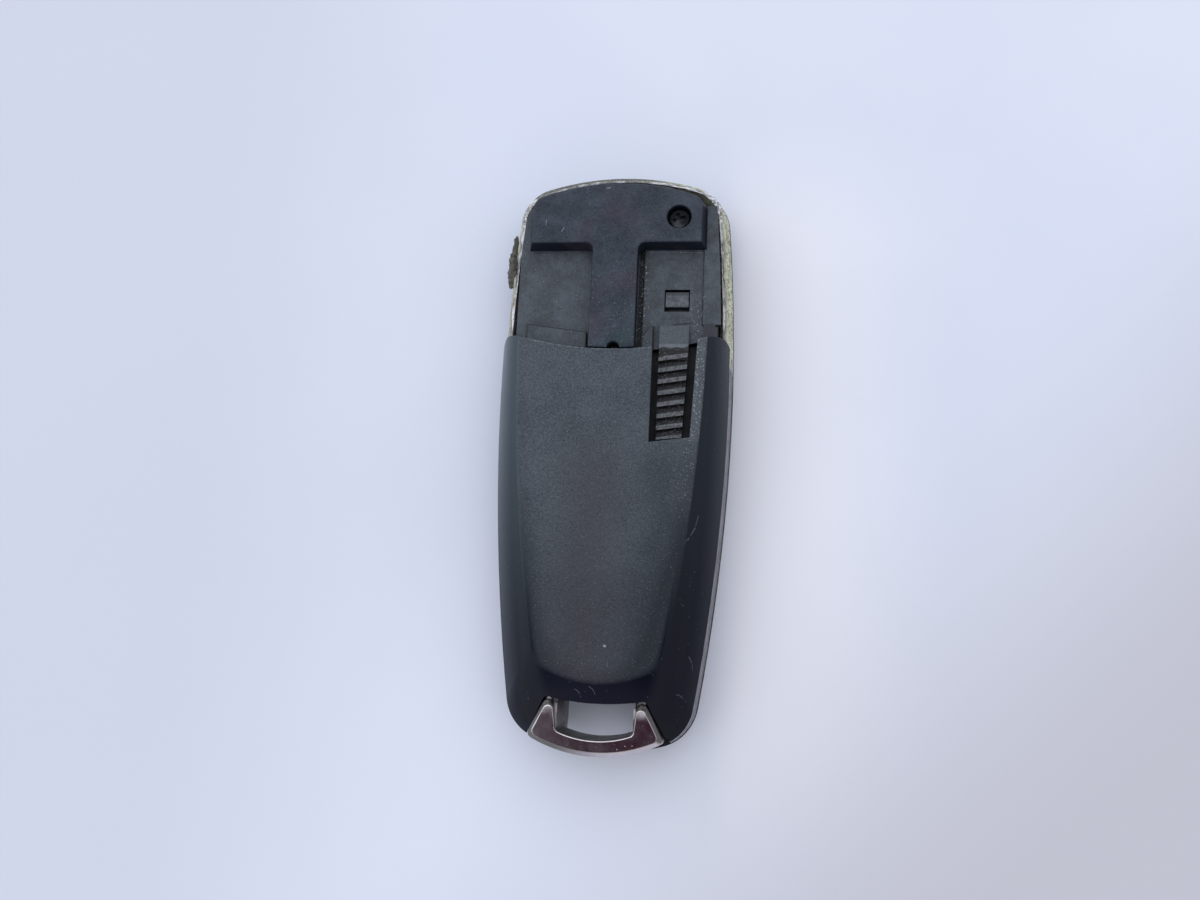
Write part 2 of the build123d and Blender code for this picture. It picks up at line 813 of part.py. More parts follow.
# T-shaped plate: head with leaning sides, stem down to the cover, seat for the screw
with BuildPart() as top_plate:
    loft([plate_section(floor_z, head_lean), plate_section(back_z, 0)], ruled=True)
    extrude(cover_end_area(floor_z, fit_gap, -far), amount=deep, mode=Mode.SUBTRACT)
    with Locations((notch_x, cover_end_y + fit_gap, floor_z)):
        Cylinder(
            notch_radius, deep, align=on_base, mode=Mode.SUBTRACT
        )
    with Locations((screw_x, screw_y, screw_seat_z)):
        Cylinder(
            screw_hole_diameter / 2, deep, align=on_base, mode=Mode.SUBTRACT
        )
    with Locations((screw_x, screw_y, floor_z)):
        Cylinder(
            screw_diameter / 2 + fit_gap, deep, align=on_base, mode=Mode.SUBTRACT
        )
    fillet(top_plate.faces().sort_by(Axis.Z)[-1].edges(), radius=plate_edge)
top_plate.part.label = "top_plate"
export_step(top_plate.part, "parts/top_plate.step")

with BuildPart() as plate_screw:
    with Locations((screw_x, screw_y, screw_seat_z)):
        Cylinder(screw_head_diameter / 2, screw_head_height, align=on_base)
    fillet(plate_screw.faces().sort_by(Axis.Z)[-1].edges(), radius=screw_head_height / 3)
    with Locations((screw_x, screw_y, screw_seat_z)):
        Cylinder(
            screw_diameter / 2,
            screw_seat_z - screw_end_z,
            align=(Align.CENTER, Align.CENTER, Align.MAX),
        )
    with Locations((screw_x, screw_y, screw_seat_z + screw_head_height)):
        for turn in (0, 90):
            Box(
                cross_length,
                cross_width,
                screw_head_height,
                rotation=(0, 0, turn + cross_turn),
                mode=Mode.SUBTRACT,
            )
plate_screw.part.label = "plate_screw"
export_step(plate_screw.part, "parts/plate_screw.step")


# Rear cover: flat plate with sloping bands, solid at its lower end
with BuildPart() as cover_room:
    loft(
        [
            cover_section(
                cover_base_z,
                side_half - room_side_wall,
                crown_y,
                side_radius,
                body_end_y + fit_gap,
                room_rise,
                room_corner,
            ),
            cover_section(
                ceiling_z,
                plate_half - room_top_wall,
                plate_crown_y,
                plate_radius,
                plate_bottom_y + wall,
                room_rise,
                room_corner,
            ),
        ],
        ruled=True,
    )

with BuildPart() as rear_cover:
    edge_section = cover_section(
        cover_base_z,
        side_half - cover_edge_inset,
        crown_y,
        side_radius,
        cover_edge_inset - end_y,
        bottom_rise,
        corner_radius - cover_edge_inset,
    )
    extrude(edge_section, amount=cover_edge_height)
    loft(
        [
            edge_section.moved(Location((0, 0, cover_edge_height))),
            cover_section(
                band_z,
                band_half,
                band_crown_y,
                plate_radius,
                band_bottom_y,
                plate_rise,
                corner_radius,
            ),
            cover_section(
                back_z,
                plate_half,
                plate_crown_y,
                plate_radius,
                plate_bottom_y,
                plate_rise,
                plate_corner,
            ),
        ]
    )
    add(cover_room.part, mode=Mode.SUBTRACT)
    extrude(cover_end_area(cover_base_z, 0, far), amount=deep, mode=Mode.SUBTRACT)
    add(loop_room.part, mode=Mode.SUBTRACT)
    with Locations((0, crossbar_end_y + move_gap, crossbar_top_z + move_gap)):
        Box(
            2 * (crossbar_half + move_gap),
            far,
            far,
            align=(Align.CENTER, Align.MAX, Align.MAX),
            mode=Mode.SUBTRACT,
        )
    # Rounded corners beside the upper edge
    with BuildSketch(Plane.XY.offset(cover_base_z)):
        for side, inward in ((-1, Align.MAX), (1, Align.MIN)):
            with Locations((side * cover_corner_x, cover_corner_y)):
                Rectangle(far, far, align=(inward, Align.MIN))
                Circle(cover_corner, mode=Mode.SUBTRACT)
    extrude(amount=deep, mode=Mode.SUBTRACT)
    # Slot for the slider, open at the upper edge
    with BuildSketch(Plane.XY.offset(cover_base_z)):
        with BuildLine():
            Polyline(
                (slot_left_x, slot_bottom_y),
                (slot_right_x, slot_bottom_y + slot_bottom_rise),
                (slot_right_x + slot_right_slope * deep, slot_bottom_y + slot_bottom_rise + deep),
                (slot_left_x, slot_bottom_y + slot_bottom_rise + deep),
                close=True,
            )
        make_face()
    extrude(amount=deep, mode=Mode.SUBTRACT)
    fillet(rear_cover.faces().sort_by(Axis.Z)[-1].edges(), radius=cover_edge)
rear_cover.part.label = "rear_cover"
export_step(rear_cover.part, "parts/rear_cover.step")


# Release slider: keel in its groove, ridged pad in the cover's slot, flat tail on the recess floor
with BuildPart() as release_slider:
    with BuildSketch(Plane.XY.offset(slider_shelf_z + frame_gap)):
        with BuildLine():
            Polyline(
                (slider_left_x, slider_bottom_y),
                (slider_left_x + slider_width - slider_taper, slider_bottom_y + slot_bottom_rise / 2),
                (slider_left_x + slider_width, cover_end_y),
                (slider_left_x, cover_end_y),
                close=True,
            )
        make_face()
    extrude(amount=slider_z - slider_shelf_z - frame_gap)
    for step in range(ridge_count):
        groove_plane = Plane(
            origin=(slider_x, ridge_start_y + step * ridge_pitch, slider_z),
            x_dir=(-math.sin(math.radians(ridge_turn)), math.cos(math.radians(ridge_turn)), 0),
            z_dir=(math.cos(math.radians(ridge_turn)), math.sin(math.radians(ridge_turn)), 0),
        )
        with BuildSketch(groove_plane):
            with BuildLine():
                Polyline(
                    (0, ridge_depth),
                    (ridge_run, ridge_depth),
                    (ridge_run, -ridge_depth),
                    (0, 0),
                    close=True,
                )
            make_face()
        extrude(amount=2 * slider_width, both=True, mode=Mode.SUBTRACT)
    with Locations((slider_left_x, base_end_y, slider_shelf_z)):
        Box(
            far,
            deep,
            floor_z + frame_gap - slider_shelf_z,
            align=from_corner,
            mode=Mode.SUBTRACT,
        )
    with Locations((slider_left_x, base_end_y + tail_lap, floor_z + frame_gap)):
        Box(
            slider_width,
            slider_top_y - base_end_y - tail_lap,
            tail_z - floor_z - frame_gap,
            align=from_corner,
        )
    with Locations((slider_x, slider_bottom_y, spring_z - spring_diameter / 2)):
        Box(
            keel_width,
            keel_length,
            slider_shelf_z + 2 * frame_gap - spring_z + spring_diameter / 2,
            align=from_edge,
        )
release_slider.part.label = "release_slider"
export_step(release_slider.part, "parts/release_slider.step")

with BuildPart() as slider_spring:
    with BuildLine():
        spring_path = Helix(
            pitch=spring_length / spring_turns,
            height=spring_length,
            radius=(spring_diameter - spring_wire) / 2,
            center=(slider_x, spring_start_y + spring_wire, spring_z),
            direction=(0, 1, 0),
        )
    with BuildSketch(Plane(origin=spring_path @ 0, z_dir=spring_path % 0)):
        Circle(spring_wire / 2)
    sweep(is_frenet=True)
slider_spring.part.label = "slider_spring"
export_step(slider_spring.part, "parts/slider_spring.step")


# Key loop: two horns and a bar round a window, with a crossbar inside the housing
with BuildPart() as key_loop:
    widest = loop_section(Plane.XY.offset(bulge_z), loop_bulge)
    shoulder = loop_section(loop_plane(horn_top_z - loop_bevel), loop_bevel)
    loft([loop_section(Plane.XY.offset(loop_base_z), loop_bulge / 2), widest], ruled=True)
    loft([widest, shoulder], ruled=True)
    loft([shoulder, loop_section(loop_plane(horn_top_z), 0)], ruled=True)
    loop_top = key_loop.faces().filter_by(loop_plane(horn_top_z)).sort_by(Axis.Z)[-1]
    fillet(loop_top.edges(), radius=loop_edge)
    with Locations((0, bar_inner_corner_y, loop_base_z)):
        Box(
            2 * window_half, far, bar_base_z - loop_base_z, align=(Align.CENTER, Align.MAX, Align.MIN),
            mode=Mode.SUBTRACT,
        )
    for side in (-1, 1):
        with Locations((side * (window_half + crossbar_half) / 2, bar_inner_corner_y, crossbar_base_z)):
            Box(
                crossbar_half - window_half,
                crossbar_end_y - bar_inner_corner_y,
                crossbar_top_z - crossbar_base_z,
                align=from_edge,
            )
    with Locations((0, crossbar_end_y, crossbar_base_z)):
        Box(
            2 * crossbar_half,
            crossbar_depth,
            crossbar_top_z - crossbar_base_z,
            align=(Align.CENTER, Align.MAX, Align.MIN),
        )
    with Locations((0, crossbar_end_y - blade_root, blade_z)):
        Box(blade_width, far, far, align=from_edge, mode=Mode.SUBTRACT)
    with Locations(*pin_places):
        Cylinder(
            pin_diameter / 2, far, align=on_base, mode=Mode.SUBTRACT
        )
key_loop.part.label = "key_loop"
export_step(key_loop.part, "parts/key_loop.step")

with BuildPart() as emergency_blade:
    with BuildSketch(Plane.XY.offset(blade_z)) as blade_plan:
        with Locations((0, crossbar_end_y - blade_root)):
            Rectangle(blade_width, blade_length, align=(Align.CENTER, Align.MIN))
        chamfer(blade_plan.vertices().group_by(Axis.Y)[-1], length=blade_tip)
    extrude(amount=blade_thickness)
    for base_z in (blade_z - blade_groove_depth, blade_z + blade_thickness - blade_groove_depth):
        with Locations((0, crossbar_end_y + wall, base_z)):
            Box(
                blade_groove_width,
                far,
                2 * blade_groove_depth,
                align=from_edge,
                mode=Mode.SUBTRACT,
            )
    with Locations(*pin_places):
        Cylinder(pin_diameter / 2, far, mode=Mode.SUBTRACT)
emergency_blade.part.label = "emergency_blade"
export_step(emergency_blade.part, "parts/emergency_blade.step")

with BuildPart() as blade_pins:
    with Locations(*pin_places):
        Cylinder(
            pin_diameter / 2, crossbar_top_z - crossbar_base_z, align=on_base
        )
blade_pins.part.label = "blade_pins"
export_step(blade_pins.part, "parts/blade_pins.step")
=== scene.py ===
import math

import bmesh
import bpy
from mathutils import Euler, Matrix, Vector, noise


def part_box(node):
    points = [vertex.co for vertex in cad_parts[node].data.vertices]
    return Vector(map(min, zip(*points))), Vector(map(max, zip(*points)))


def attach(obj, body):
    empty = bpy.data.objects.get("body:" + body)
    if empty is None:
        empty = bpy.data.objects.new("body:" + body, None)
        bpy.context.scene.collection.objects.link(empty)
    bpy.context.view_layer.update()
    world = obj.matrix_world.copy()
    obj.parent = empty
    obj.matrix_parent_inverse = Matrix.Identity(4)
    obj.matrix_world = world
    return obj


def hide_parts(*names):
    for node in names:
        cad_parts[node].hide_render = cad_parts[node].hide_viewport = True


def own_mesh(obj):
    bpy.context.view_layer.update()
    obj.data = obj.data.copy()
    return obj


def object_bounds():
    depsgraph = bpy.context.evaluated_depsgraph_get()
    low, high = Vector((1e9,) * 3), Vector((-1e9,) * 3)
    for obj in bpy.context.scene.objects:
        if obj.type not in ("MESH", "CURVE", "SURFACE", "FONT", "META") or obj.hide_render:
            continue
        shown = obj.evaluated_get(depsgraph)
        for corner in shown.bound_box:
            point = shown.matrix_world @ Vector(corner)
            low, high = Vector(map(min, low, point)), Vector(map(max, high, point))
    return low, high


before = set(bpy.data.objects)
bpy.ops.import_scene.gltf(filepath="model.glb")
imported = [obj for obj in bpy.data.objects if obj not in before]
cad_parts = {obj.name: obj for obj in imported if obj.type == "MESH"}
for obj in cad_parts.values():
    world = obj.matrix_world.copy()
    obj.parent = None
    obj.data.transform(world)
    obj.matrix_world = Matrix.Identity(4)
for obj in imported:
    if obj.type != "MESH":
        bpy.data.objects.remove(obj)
cad_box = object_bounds()


# Camera: held over the key by hand, a little to the right and below the middle, looking down.
# The wide lens makes the raised plate stand out against the recessed floor.
CAMERA_PLACE = (0.0154045, -0.0229425, 0.1285796)
CAMERA_TURN = (0.188526576, 0.130017016, 0.048552691)
SENSOR_WIDTH, LENS = 36.0, 27.03
NEAREST = 0.005


def add_object(name, data):
    """Puts a new object that shows this data in the scene."""
    added = bpy.data.objects.new(name, data)
    bpy.context.scene.collection.objects.link(added)
    return added


camera_data = bpy.data.cameras.new("overhead_camera")
camera_data.sensor_width = SENSOR_WIDTH
camera_data.lens = LENS
camera_data.clip_start = NEAREST
camera = add_object("overhead_camera", camera_data)
camera.location = CAMERA_PLACE
camera.rotation_euler = Euler(CAMERA_TURN, "XYZ")
bpy.context.scene.camera = camera


# Front shell: a shallow dish of black gloss plastic, injection moulded, which holds every other
# piece. Only its widest line is seen from the back, beside the metallised frame.
MM = 0.001


class Wire:
    """A node's output. Sums written with wires add their Math nodes."""

    def __init__(self, finish, socket):
        self.finish = finish
        self.socket = socket

    def maths(self, operation, *values):
        """What a Math node makes of these values."""
        return self.finish.node("ShaderNodeMath", {"operation": operation}, dict(enumerate(values)))

    def __add__(self, other):
        return self.maths("ADD", self, other)

    __radd__ = __add__

    def __sub__(self, other):
        return self.maths("SUBTRACT", self, other)

    def __rsub__(self, other):
        return self.maths("SUBTRACT", other, self)

    def __mul__(self, other):
        return self.maths("MULTIPLY", self, other)

    def __truediv__(self, other):
        return self.maths("DIVIDE", self, other)

    def __abs__(self):
        return self.maths("ABSOLUTE", self)

    def ramp(self, low, high, to_low=0.0, to_high=1.0):
        """This value, eased from to_low at low to to_high at high."""
        return self.finish.node(
            "ShaderNodeMapRange",
            {"interpolation_type": "SMOOTHSTEP"},
            {"Value": self, "From Min": low, "From Max": high, "To Min": to_low, "To Max": to_high},
        )


class Nodes:
    """The node tree of a material, of the room's light or of a piece's shape."""

    def __init__(self, tree):
        self.tree = tree

    def node(self, kind, settings, sockets, output=0):
        """Adds a node: its settings first, then the values and links of its sockets."""
        node = self.tree.nodes.new(kind)
        for key, value in settings.items():
            setattr(node, key, value)
        for key, value in sockets.items():
            if isinstance(value, Wire):
                self.tree.links.new(value.socket, node.inputs[key])
            else:
                node.inputs[key].default_value = value
        return Wire(self, node.outputs[output])

    def mix(self, factor, first, second):
        """A colour between two."""
        return self.node("ShaderNodeMix", {"data_type": "RGBA"}, {0: factor, 6: first, 7: second}, 2)

    def part(self, vector, letter):
        """One coordinate of a vector."""
        return self.node("ShaderNodeSeparateXYZ", {}, {0: vector}, letter)


class Finish(Nodes):
    """A piece's material, its patterns measured in millimetres on the key's own coordinates."""

    def __init__(self, name, **constants):
        self.material = bpy.data.materials.new(name)
        self.material.use_nodes = True
        super().__init__(self.material.node_tree)
        self.shader = self.tree.nodes["Principled BSDF"]
        for socket, value in constants.items():
            self.shader.inputs[socket.replace("_", " ")].default_value = value
        metres = self.node("ShaderNodeTexCoord", {}, {}, "Object")
        self.place = self.node(
            "ShaderNodeVectorMath", {"operation": "SCALE"}, {"Vector": metres, "Scale": 1 / MM}
        )

    def axis(self, letter):
        """The piece's own X, Y or Z in millimetres."""
        return self.part(self.place, letter)

    def grain(self, scale, detail=2.0, stretch=(1, 1, 1), roughness=0.5):
        """Noise with so many bumps to the millimetre."""
        place = self.node("ShaderNodeVectorMath", {"operation": "MULTIPLY"}, {0: self.place, 1: stretch})
        return self.node(
            "ShaderNodeTexNoise",
            {},
            {"Vector": place, "Scale": scale, "Detail": detail, "Roughness": roughness},
            "Fac",
        )

    def flecks(self, scale, size, share):
        """Round specks, one to a cell, drawn in only a share of the cells."""
        cells = {"Vector": self.place, "Scale": scale}
        near = self.node("ShaderNodeTexVoronoi", {}, cells, "Distance")
        chance = self.node("ShaderNodeTexVoronoi", {}, cells, "Color")
        drawn = self.node("ShaderNodeSeparateColor", {}, {"Color": chance}, "Red")
        return near.ramp(size, size * 0.5) * drawn.ramp(1 - share, 1.01 - share)

    def facing(self, letter):
        """How far the surface looks along an axis, from -1 to 1."""
        return self.part(self.node("ShaderNodeNewGeometry", {}, {}, "Normal"), letter)

    def upward(self):
        """1 where the surface looks up, 0 on walls: dust lies on the tops, and the walls are kept dark as
        painted shade.
        """
        return self.facing("Z").ramp(0.35, 0.9)

    def zone(self, low, high, soft=0.5):
        """1 inside a rectangle of the plan, fading out over a soft edge."""
        x, y = self.axis("X"), self.axis("Y")
        across = x.ramp(low[0] - soft, low[0] + soft) * x.ramp(high[0] + soft, high[0] - soft)
        return across * y.ramp(low[1] - soft, low[1] + soft) * y.ramp(high[1] + soft, high[1] - soft)

    def mark(self, start, end, width):
        """A thin straight line between two places of the plan, 1 on it and 0 beside it."""
        run_x, run_y = end[0] - start[0], end[1] - start[1]
        from_x, from_y = self.axis("X") - start[0], self.axis("Y") - start[1]
        along = (from_x * run_x + from_y * run_y) / (run_x * run_x + run_y * run_y)
        along = along.maths("MINIMUM", along.maths("MAXIMUM", along, 0.0), 1.0)
        off_x, off_y = from_x - along * run_x, from_y - along * run_y
        gap = off_x * off_x + off_y * off_y
        return gap.maths("SQRT", gap).ramp(width, width * 0.4)

    def trail(self, corners, width):
        """Marks from corner to corner."""
        return sum(self.mark(start, end, width) for start, end in zip(corners, corners[1:]))

    def scratches(self, scale, turn, width, share):
        """Hair-thin lines that run along one direction."""
        turned = self.node(
            "ShaderNodeMapping", {}, {"Vector": self.place, "Rotation": (0, 0, math.radians(turn))}
        )
        thin = self.node("ShaderNodeVectorMath", {"operation": "MULTIPLY"}, {0: turned, 1: (1, 0.06, 0.3)})
        line = self.node("ShaderNodeTexNoise", {}, {"Vector": thin, "Scale": scale, "Detail": 1.0}, "Fac")
        patch = self.grain(0.22, 1.0).ramp(1 - share, 1.04 - share)
        return abs(line - 0.5).ramp(width, 0.0) * patch

    def wear(self, **links):
        """Leads wires into the shader's sockets."""
        for socket, wire in links.items():
            self.tree.links.new(wire.socket, self.shader.inputs[socket.replace("_", " ")])

    def relief(self, height, depth):
        """Raises the surface by a pattern, depth in millimetres."""
        bump = self.node(
            "ShaderNodeBump", {}, {"Strength": 1.0, "Distance": depth * MM, "Height": height}
        )
        self.wear(Normal=bump)


def dress(piece, finish):
    """Gives a piece its finish in every material slot."""
    if not piece.material_slots:
        piece.data.materials.append(finish.material)
    for holder in piece.material_slots:
        holder.material = finish.material


shell_gloss = Finish("shell_gloss", Specular_IOR_Level=0.5)
shell_scuffs = shell_gloss.scratches(3.0, 25, 0.012, 0.45)
shell_haze = shell_gloss.grain(0.4, 4.0)
shell_gloss.wear(
    Base_Color=shell_gloss.mix(shell_scuffs, (0.012, 0.013, 0.016, 1), (0.09, 0.09, 0.1, 1)),
    Roughness=shell_haze.ramp(0.3, 0.7, 0.18, 0.32) + shell_scuffs * 0.25,
)
shell_gloss.relief(shell_gloss.grain(2.5, 3.0), 0.004)
dress(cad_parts["front_shell"], shell_gloss)


# Buttons: three soft-feel caps moulded in black, each with a flange that keeps it in its window
# and a stem that pushes its switch through the silicone seal.
button_skin = Finish("button_skin", Roughness=0.6)
button_wear = button_skin.grain(0.35, 3.0).ramp(0.45, 0.7)
button_skin.wear(
    Base_Color=button_skin.mix(button_wear, (0.018, 0.018, 0.02, 1), (0.035, 0.035, 0.037, 1)),
    Roughness=button_wear.ramp(0.0, 1.0, 0.62, 0.42),
)
button_skin.relief(button_skin.grain(7.0, 2.0), 0.012)

switch_black = Finish("switch_black", Roughness=0.45)
switch_black.wear(
    Base_Color=switch_black.mix(
        switch_black.grain(3.0, 2.0), (0.012, 0.012, 0.013, 1), (0.03, 0.03, 0.03, 1)
    )
)
switch_black.relief(switch_black.grain(9.0), 0.006)

switch_white = Finish("switch_white", Roughness=0.4)
switch_white.wear(
    Base_Color=switch_white.mix(switch_white.grain(2.0), (0.7, 0.68, 0.62, 1), (0.8, 0.79, 0.75, 1))
)

for name in ("lock", "unlock", "boot"):
    dress(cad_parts[name + "_button"], button_skin)
    dress(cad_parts[name + "_plunger"], switch_white)
    dress(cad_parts[name + "_switch"], switch_black)


# Seal: a thin silicone sheet, pressed, that lies on the shell's posts under the board.
silicone = Finish("silicone", Roughness=0.7)
silicone.wear(Base_Color=silicone.mix(silicone.grain(0.8, 4.0), (0.2, 0.2, 0.22, 1), (0.3, 0.3, 0.32, 1)))
silicone.relief(silicone.grain(5.0), 0.01)
dress(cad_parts["button_mat"], silicone)


# Circuit board with its chip and crystal: glass-fibre sheet under green solder mask, with the
# tracks showing through as lighter lines, and soldered parts on its upper face.
TRACKS_PER_MM = 1.25

solder_mask = Finish("solder_mask", Roughness=0.3, Coat_Weight=0.3)
lanes = solder_mask.axis("X") * TRACKS_PER_MM
lanes = lanes.maths("FRACT", lanes)
bends = solder_mask.grain(0.12, 0.0).ramp(0.48, 0.52)
copper_lines = abs(lanes - 0.5).ramp(0.2, 0.14) * bends
solder_mask.wear(
    Base_Color=solder_mask.mix(copper_lines, (0.008, 0.07, 0.025, 1), (0.03, 0.16, 0.06, 1))
)
solder_mask.relief(copper_lines, 0.02)
dress(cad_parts["circuit_board"], solder_mask)
dress(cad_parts["controller_chip"], switch_black)

bright_steel = Finish("bright_steel", Metallic=1.0)
steel_lines = bright_steel.grain(3.0, 3.0, (8, 1, 1))
bright_steel.wear(
    Base_Color=bright_steel.mix(steel_lines, (0.42, 0.42, 0.43, 1), (0.66, 0.66, 0.67, 1)),
    Roughness=steel_lines.ramp(0.2, 0.8, 0.22, 0.42),
)
dress(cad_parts["crystal"], bright_steel)


# Coin cell with its clip and leaf: the cell is a crimped steel can, and the two contacts are
# stamped from nickel-plated strip and soldered to the board.
cell_can = Finish("cell_can", Metallic=1.0)
swirl = cell_can.grain(2.0, 4.0, (1, 6, 1))
cell_can.wear(
    Base_Color=cell_can.mix(swirl, (0.55, 0.55, 0.56, 1), (0.75, 0.75, 0.75, 1)),
    Roughness=swirl.ramp(0.3, 0.7, 0.18, 0.34),
)
dress(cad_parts["battery"], cell_can)

nickel = Finish("nickel", Metallic=1.0)
nickel_haze = nickel.grain(1.5, 3.0)
nickel.wear(
    Base_Color=nickel.mix(nickel_haze, (0.5, 0.47, 0.41, 1), (0.68, 0.65, 0.58, 1)),
    Roughness=nickel_haze.ramp(0.3, 0.7, 0.24, 0.4),
)
dress(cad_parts["battery_clip"], nickel)
dress(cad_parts["battery_contact"], nickel)


# Transponder coil: a sintered ferrite bobbin, wound with enamelled copper wire. Each turn is
# one rounded ring round the bobbin, pressed against the next.
ferrite = Finish("ferrite", Roughness=0.55)
ferrite_grain = ferrite.grain(5.0, 3.0)
ferrite.wear(Base_Color=ferrite.mix(ferrite_grain, (0.025, 0.025, 0.027, 1), (0.06, 0.06, 0.06, 1)))
ferrite.relief(ferrite.grain(6.0, 2.0), 0.015)
dress(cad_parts["antenna_core"], ferrite)

copper = Finish("copper", Metallic=0.9)
copper_age = copper.grain(1.2, 3.0)
copper.wear(
    Base_Color=copper.mix(copper_age, (0.32, 0.1, 0.035, 1), (0.62, 0.24, 0.1, 1)),
    Roughness=copper_age.ramp(0.3, 0.7, 0.25, 0.4),
)

SOCKETS = {float: "NodeSocketFloat", int: "NodeSocketInt", tuple: "NodeSocketVector"}


class Recipe(Nodes):
    """A Geometry Nodes tree with named inputs, which ends in one finished mesh."""

    def __init__(self, name, **values):
        super().__init__(bpy.data.node_groups.new(name, "GeometryNodeTree"))
        face = self.tree.interface
        face.new_socket("Geometry", in_out="OUTPUT", socket_type="NodeSocketGeometry")
        face.new_socket("Geometry", in_out="INPUT", socket_type="NodeSocketGeometry")
        self.values = {}
        for title, value in values.items():
            socket = face.new_socket(title, in_out="INPUT", socket_type=SOCKETS[type(value)])
            self.values[socket.identifier] = value
        self.inlet = self.tree.nodes.new("NodeGroupInput")

    def given(self, title):
        """One of the tree's named inputs."""
        return Wire(self, self.inlet.outputs[title])

    def piece(self, name, shape, finish, body, start=None):
        """Makes the mesh, puts it in the scene and lets it ride on a body."""
        whole = self.node("GeometryNodeRealizeInstances", {}, {"Geometry": shape})
        dressed = self.node("GeometryNodeSetMaterial", {}, {"Geometry": whole, "Material": finish.material})
        outlet = self.tree.nodes.new("NodeGroupOutput")
        self.tree.links.new(dressed.socket, outlet.inputs["Geometry"])
        holder = add_object(name, start or bpy.data.meshes.new(name))
        modifier = holder.modifiers.new(name, "NODES")
        modifier.node_group = self.tree
        for identifier, value in self.values.items():
            modifier[identifier] = value
        ready = holder.evaluated_get(bpy.context.evaluated_depsgraph_get())
        mesh = bpy.data.meshes.new_from_object(ready)
        holder.modifiers.remove(modifier)
        holder.data = mesh
        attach(holder, body)
        return holder


WIRE_PITCH = 0.3 * MM
WINDING_WALL = 0.7 * MM
BEND_STEPS = 5
WIRE_SIDES = 10
coil_low, coil_high = (Vector(corner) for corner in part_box("antenna_coil"))
coil_size = coil_high - coil_low
turns = round(coil_size.x / WIRE_PITCH)

winding = Recipe(
    "winding",
    Turns=turns,
    Pitch=coil_size.x / turns,
    Wall=WINDING_WALL,
    Width=coil_size.y - WINDING_WALL,
    Depth=coil_size.z - WINDING_WALL,
    Middle=tuple((coil_low + coil_high) / 2 - Vector((coil_size.x / 2, 0, 0))),
)
pitch, wall = winding.given("Pitch"), winding.given("Wall")
bend = winding.node(
    "GeometryNodeCurvePrimitiveQuadrilateral",
    {},
    {"Width": winding.given("Width"), "Height": winding.given("Depth")},
)
bend = winding.node(
    "GeometryNodeFilletCurve",
    {"mode": "POLY"},
    {"Curve": bend, "Count": BEND_STEPS, "Radius": wall * 0.9},
)
flat_wire = winding.node(
    "GeometryNodeCurvePrimitiveCircle", {}, {"Resolution": WIRE_SIDES, "Radius": 0.5}
)
wire_size = winding.node("ShaderNodeCombineXYZ", {}, {0: wall, 1: pitch, 2: 1.0})
flat_wire = winding.node("GeometryNodeTransform", {}, {"Geometry": flat_wire, "Scale": wire_size})
ring = winding.node("GeometryNodeCurveToMesh", {}, {"Curve": bend, "Profile Curve": flat_wire})
ring = winding.node("GeometryNodeTransform", {}, {"Geometry": ring, "Rotation": (0, math.pi / 2, 0)})
ring = winding.node("GeometryNodeTransform", {}, {"Geometry": ring, "Rotation": (math.pi / 2, 0, 0)})
first = winding.node(
    "ShaderNodeVectorMath",
    {"operation": "ADD"},
    {0: winding.given("Middle"), 1: winding.node("ShaderNodeCombineXYZ", {}, {0: pitch * 0.5})},
)
step = winding.node("ShaderNodeCombineXYZ", {}, {0: pitch})
row = winding.node(
    "GeometryNodeMeshLine",
    {},
    {"Count": winding.given("Turns"), "Start Location": first, "Offset": step},
)
rings = winding.node("GeometryNodeInstanceOnPoints", {}, {"Points": row, "Instance": ring})
coil = winding.piece("coil_winding", rings, copper, "housing")
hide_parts("antenna_coil")


# Frame round the edge: ABS plated with chrome, pressed onto the shell. Round the slot end its
# plating has worn through to an olive, gritty undercoat, and the narrow rim is streaked.
WIDEST_Y = 10.6
SIDE_BULGE = 552.0
END_ARC = 0.01407
END_SHIFT = 24.15
RIM_RISE = (7.25, 7.65)
OUTER_HALF = (15.25, 15.38)
ROUND_END = (32.0, 36.5)
LEFT_SIDE = (9.0, 3.0)
WORN_END = (10.0, 15.0)
STREAKS = (3.5, 0.35, 1.5)

worn_chrome = Finish("worn_chrome")
frame_x, frame_y, height = (worn_chrome.axis(letter) for letter in "XYZ")
round_end = frame_y.ramp(*ROUND_END)
left_side = frame_x.ramp(*LEFT_SIDE)
blotch = worn_chrome.grain(0.6, 5.0, roughness=0.7)
toward_end = (frame_y + (blotch - 0.5) * 16.0).ramp(*WORN_END)
pits = worn_chrome.grain(2.6, 4.0, roughness=0.7)
grit = worn_chrome.grain(6.0, 2.0)
from_widest = frame_y - WIDEST_Y
side_reach = abs(frame_x) + from_widest * from_widest / SIDE_BULGE
end_reach = frame_y + frame_x * frame_x * END_ARC - END_SHIFT
reach = side_reach.maths("MAXIMUM", side_reach, end_reach)
lengthwise = frame_y * (1 - round_end) + frame_x * round_end
streak_place = worn_chrome.node(
    "ShaderNodeCombineXYZ",
    {},
    {0: reach * STREAKS[0], 1: lengthwise * STREAKS[1], 2: height * STREAKS[2]},
)
streak = worn_chrome.node(
    "ShaderNodeTexNoise",
    {},
    {"Vector": streak_place, "Scale": 1.0, "Detail": 4.0, "Roughness": 0.7},
    "Fac",
)
rim = (height + pits - 0.5).ramp(*RIM_RISE)
outer_half = (reach + (blotch - 0.5) * 0.5).ramp(*OUTER_HALF)
bare = blotch * 0.7 + outer_half * 0.6 + (1 - rim) * 0.5 + round_end * left_side * 0.25 - 0.42
bare = bare.ramp(0.08, 0.28) * toward_end
spots = pits.ramp(0.58, 0.66) * (1 - rim * 0.45) * (0.2 + toward_end * 0.8)
bloom = worn_chrome.grain(1.1, 3.0, (1, 0.5, 1)).ramp(0.5, 0.7)
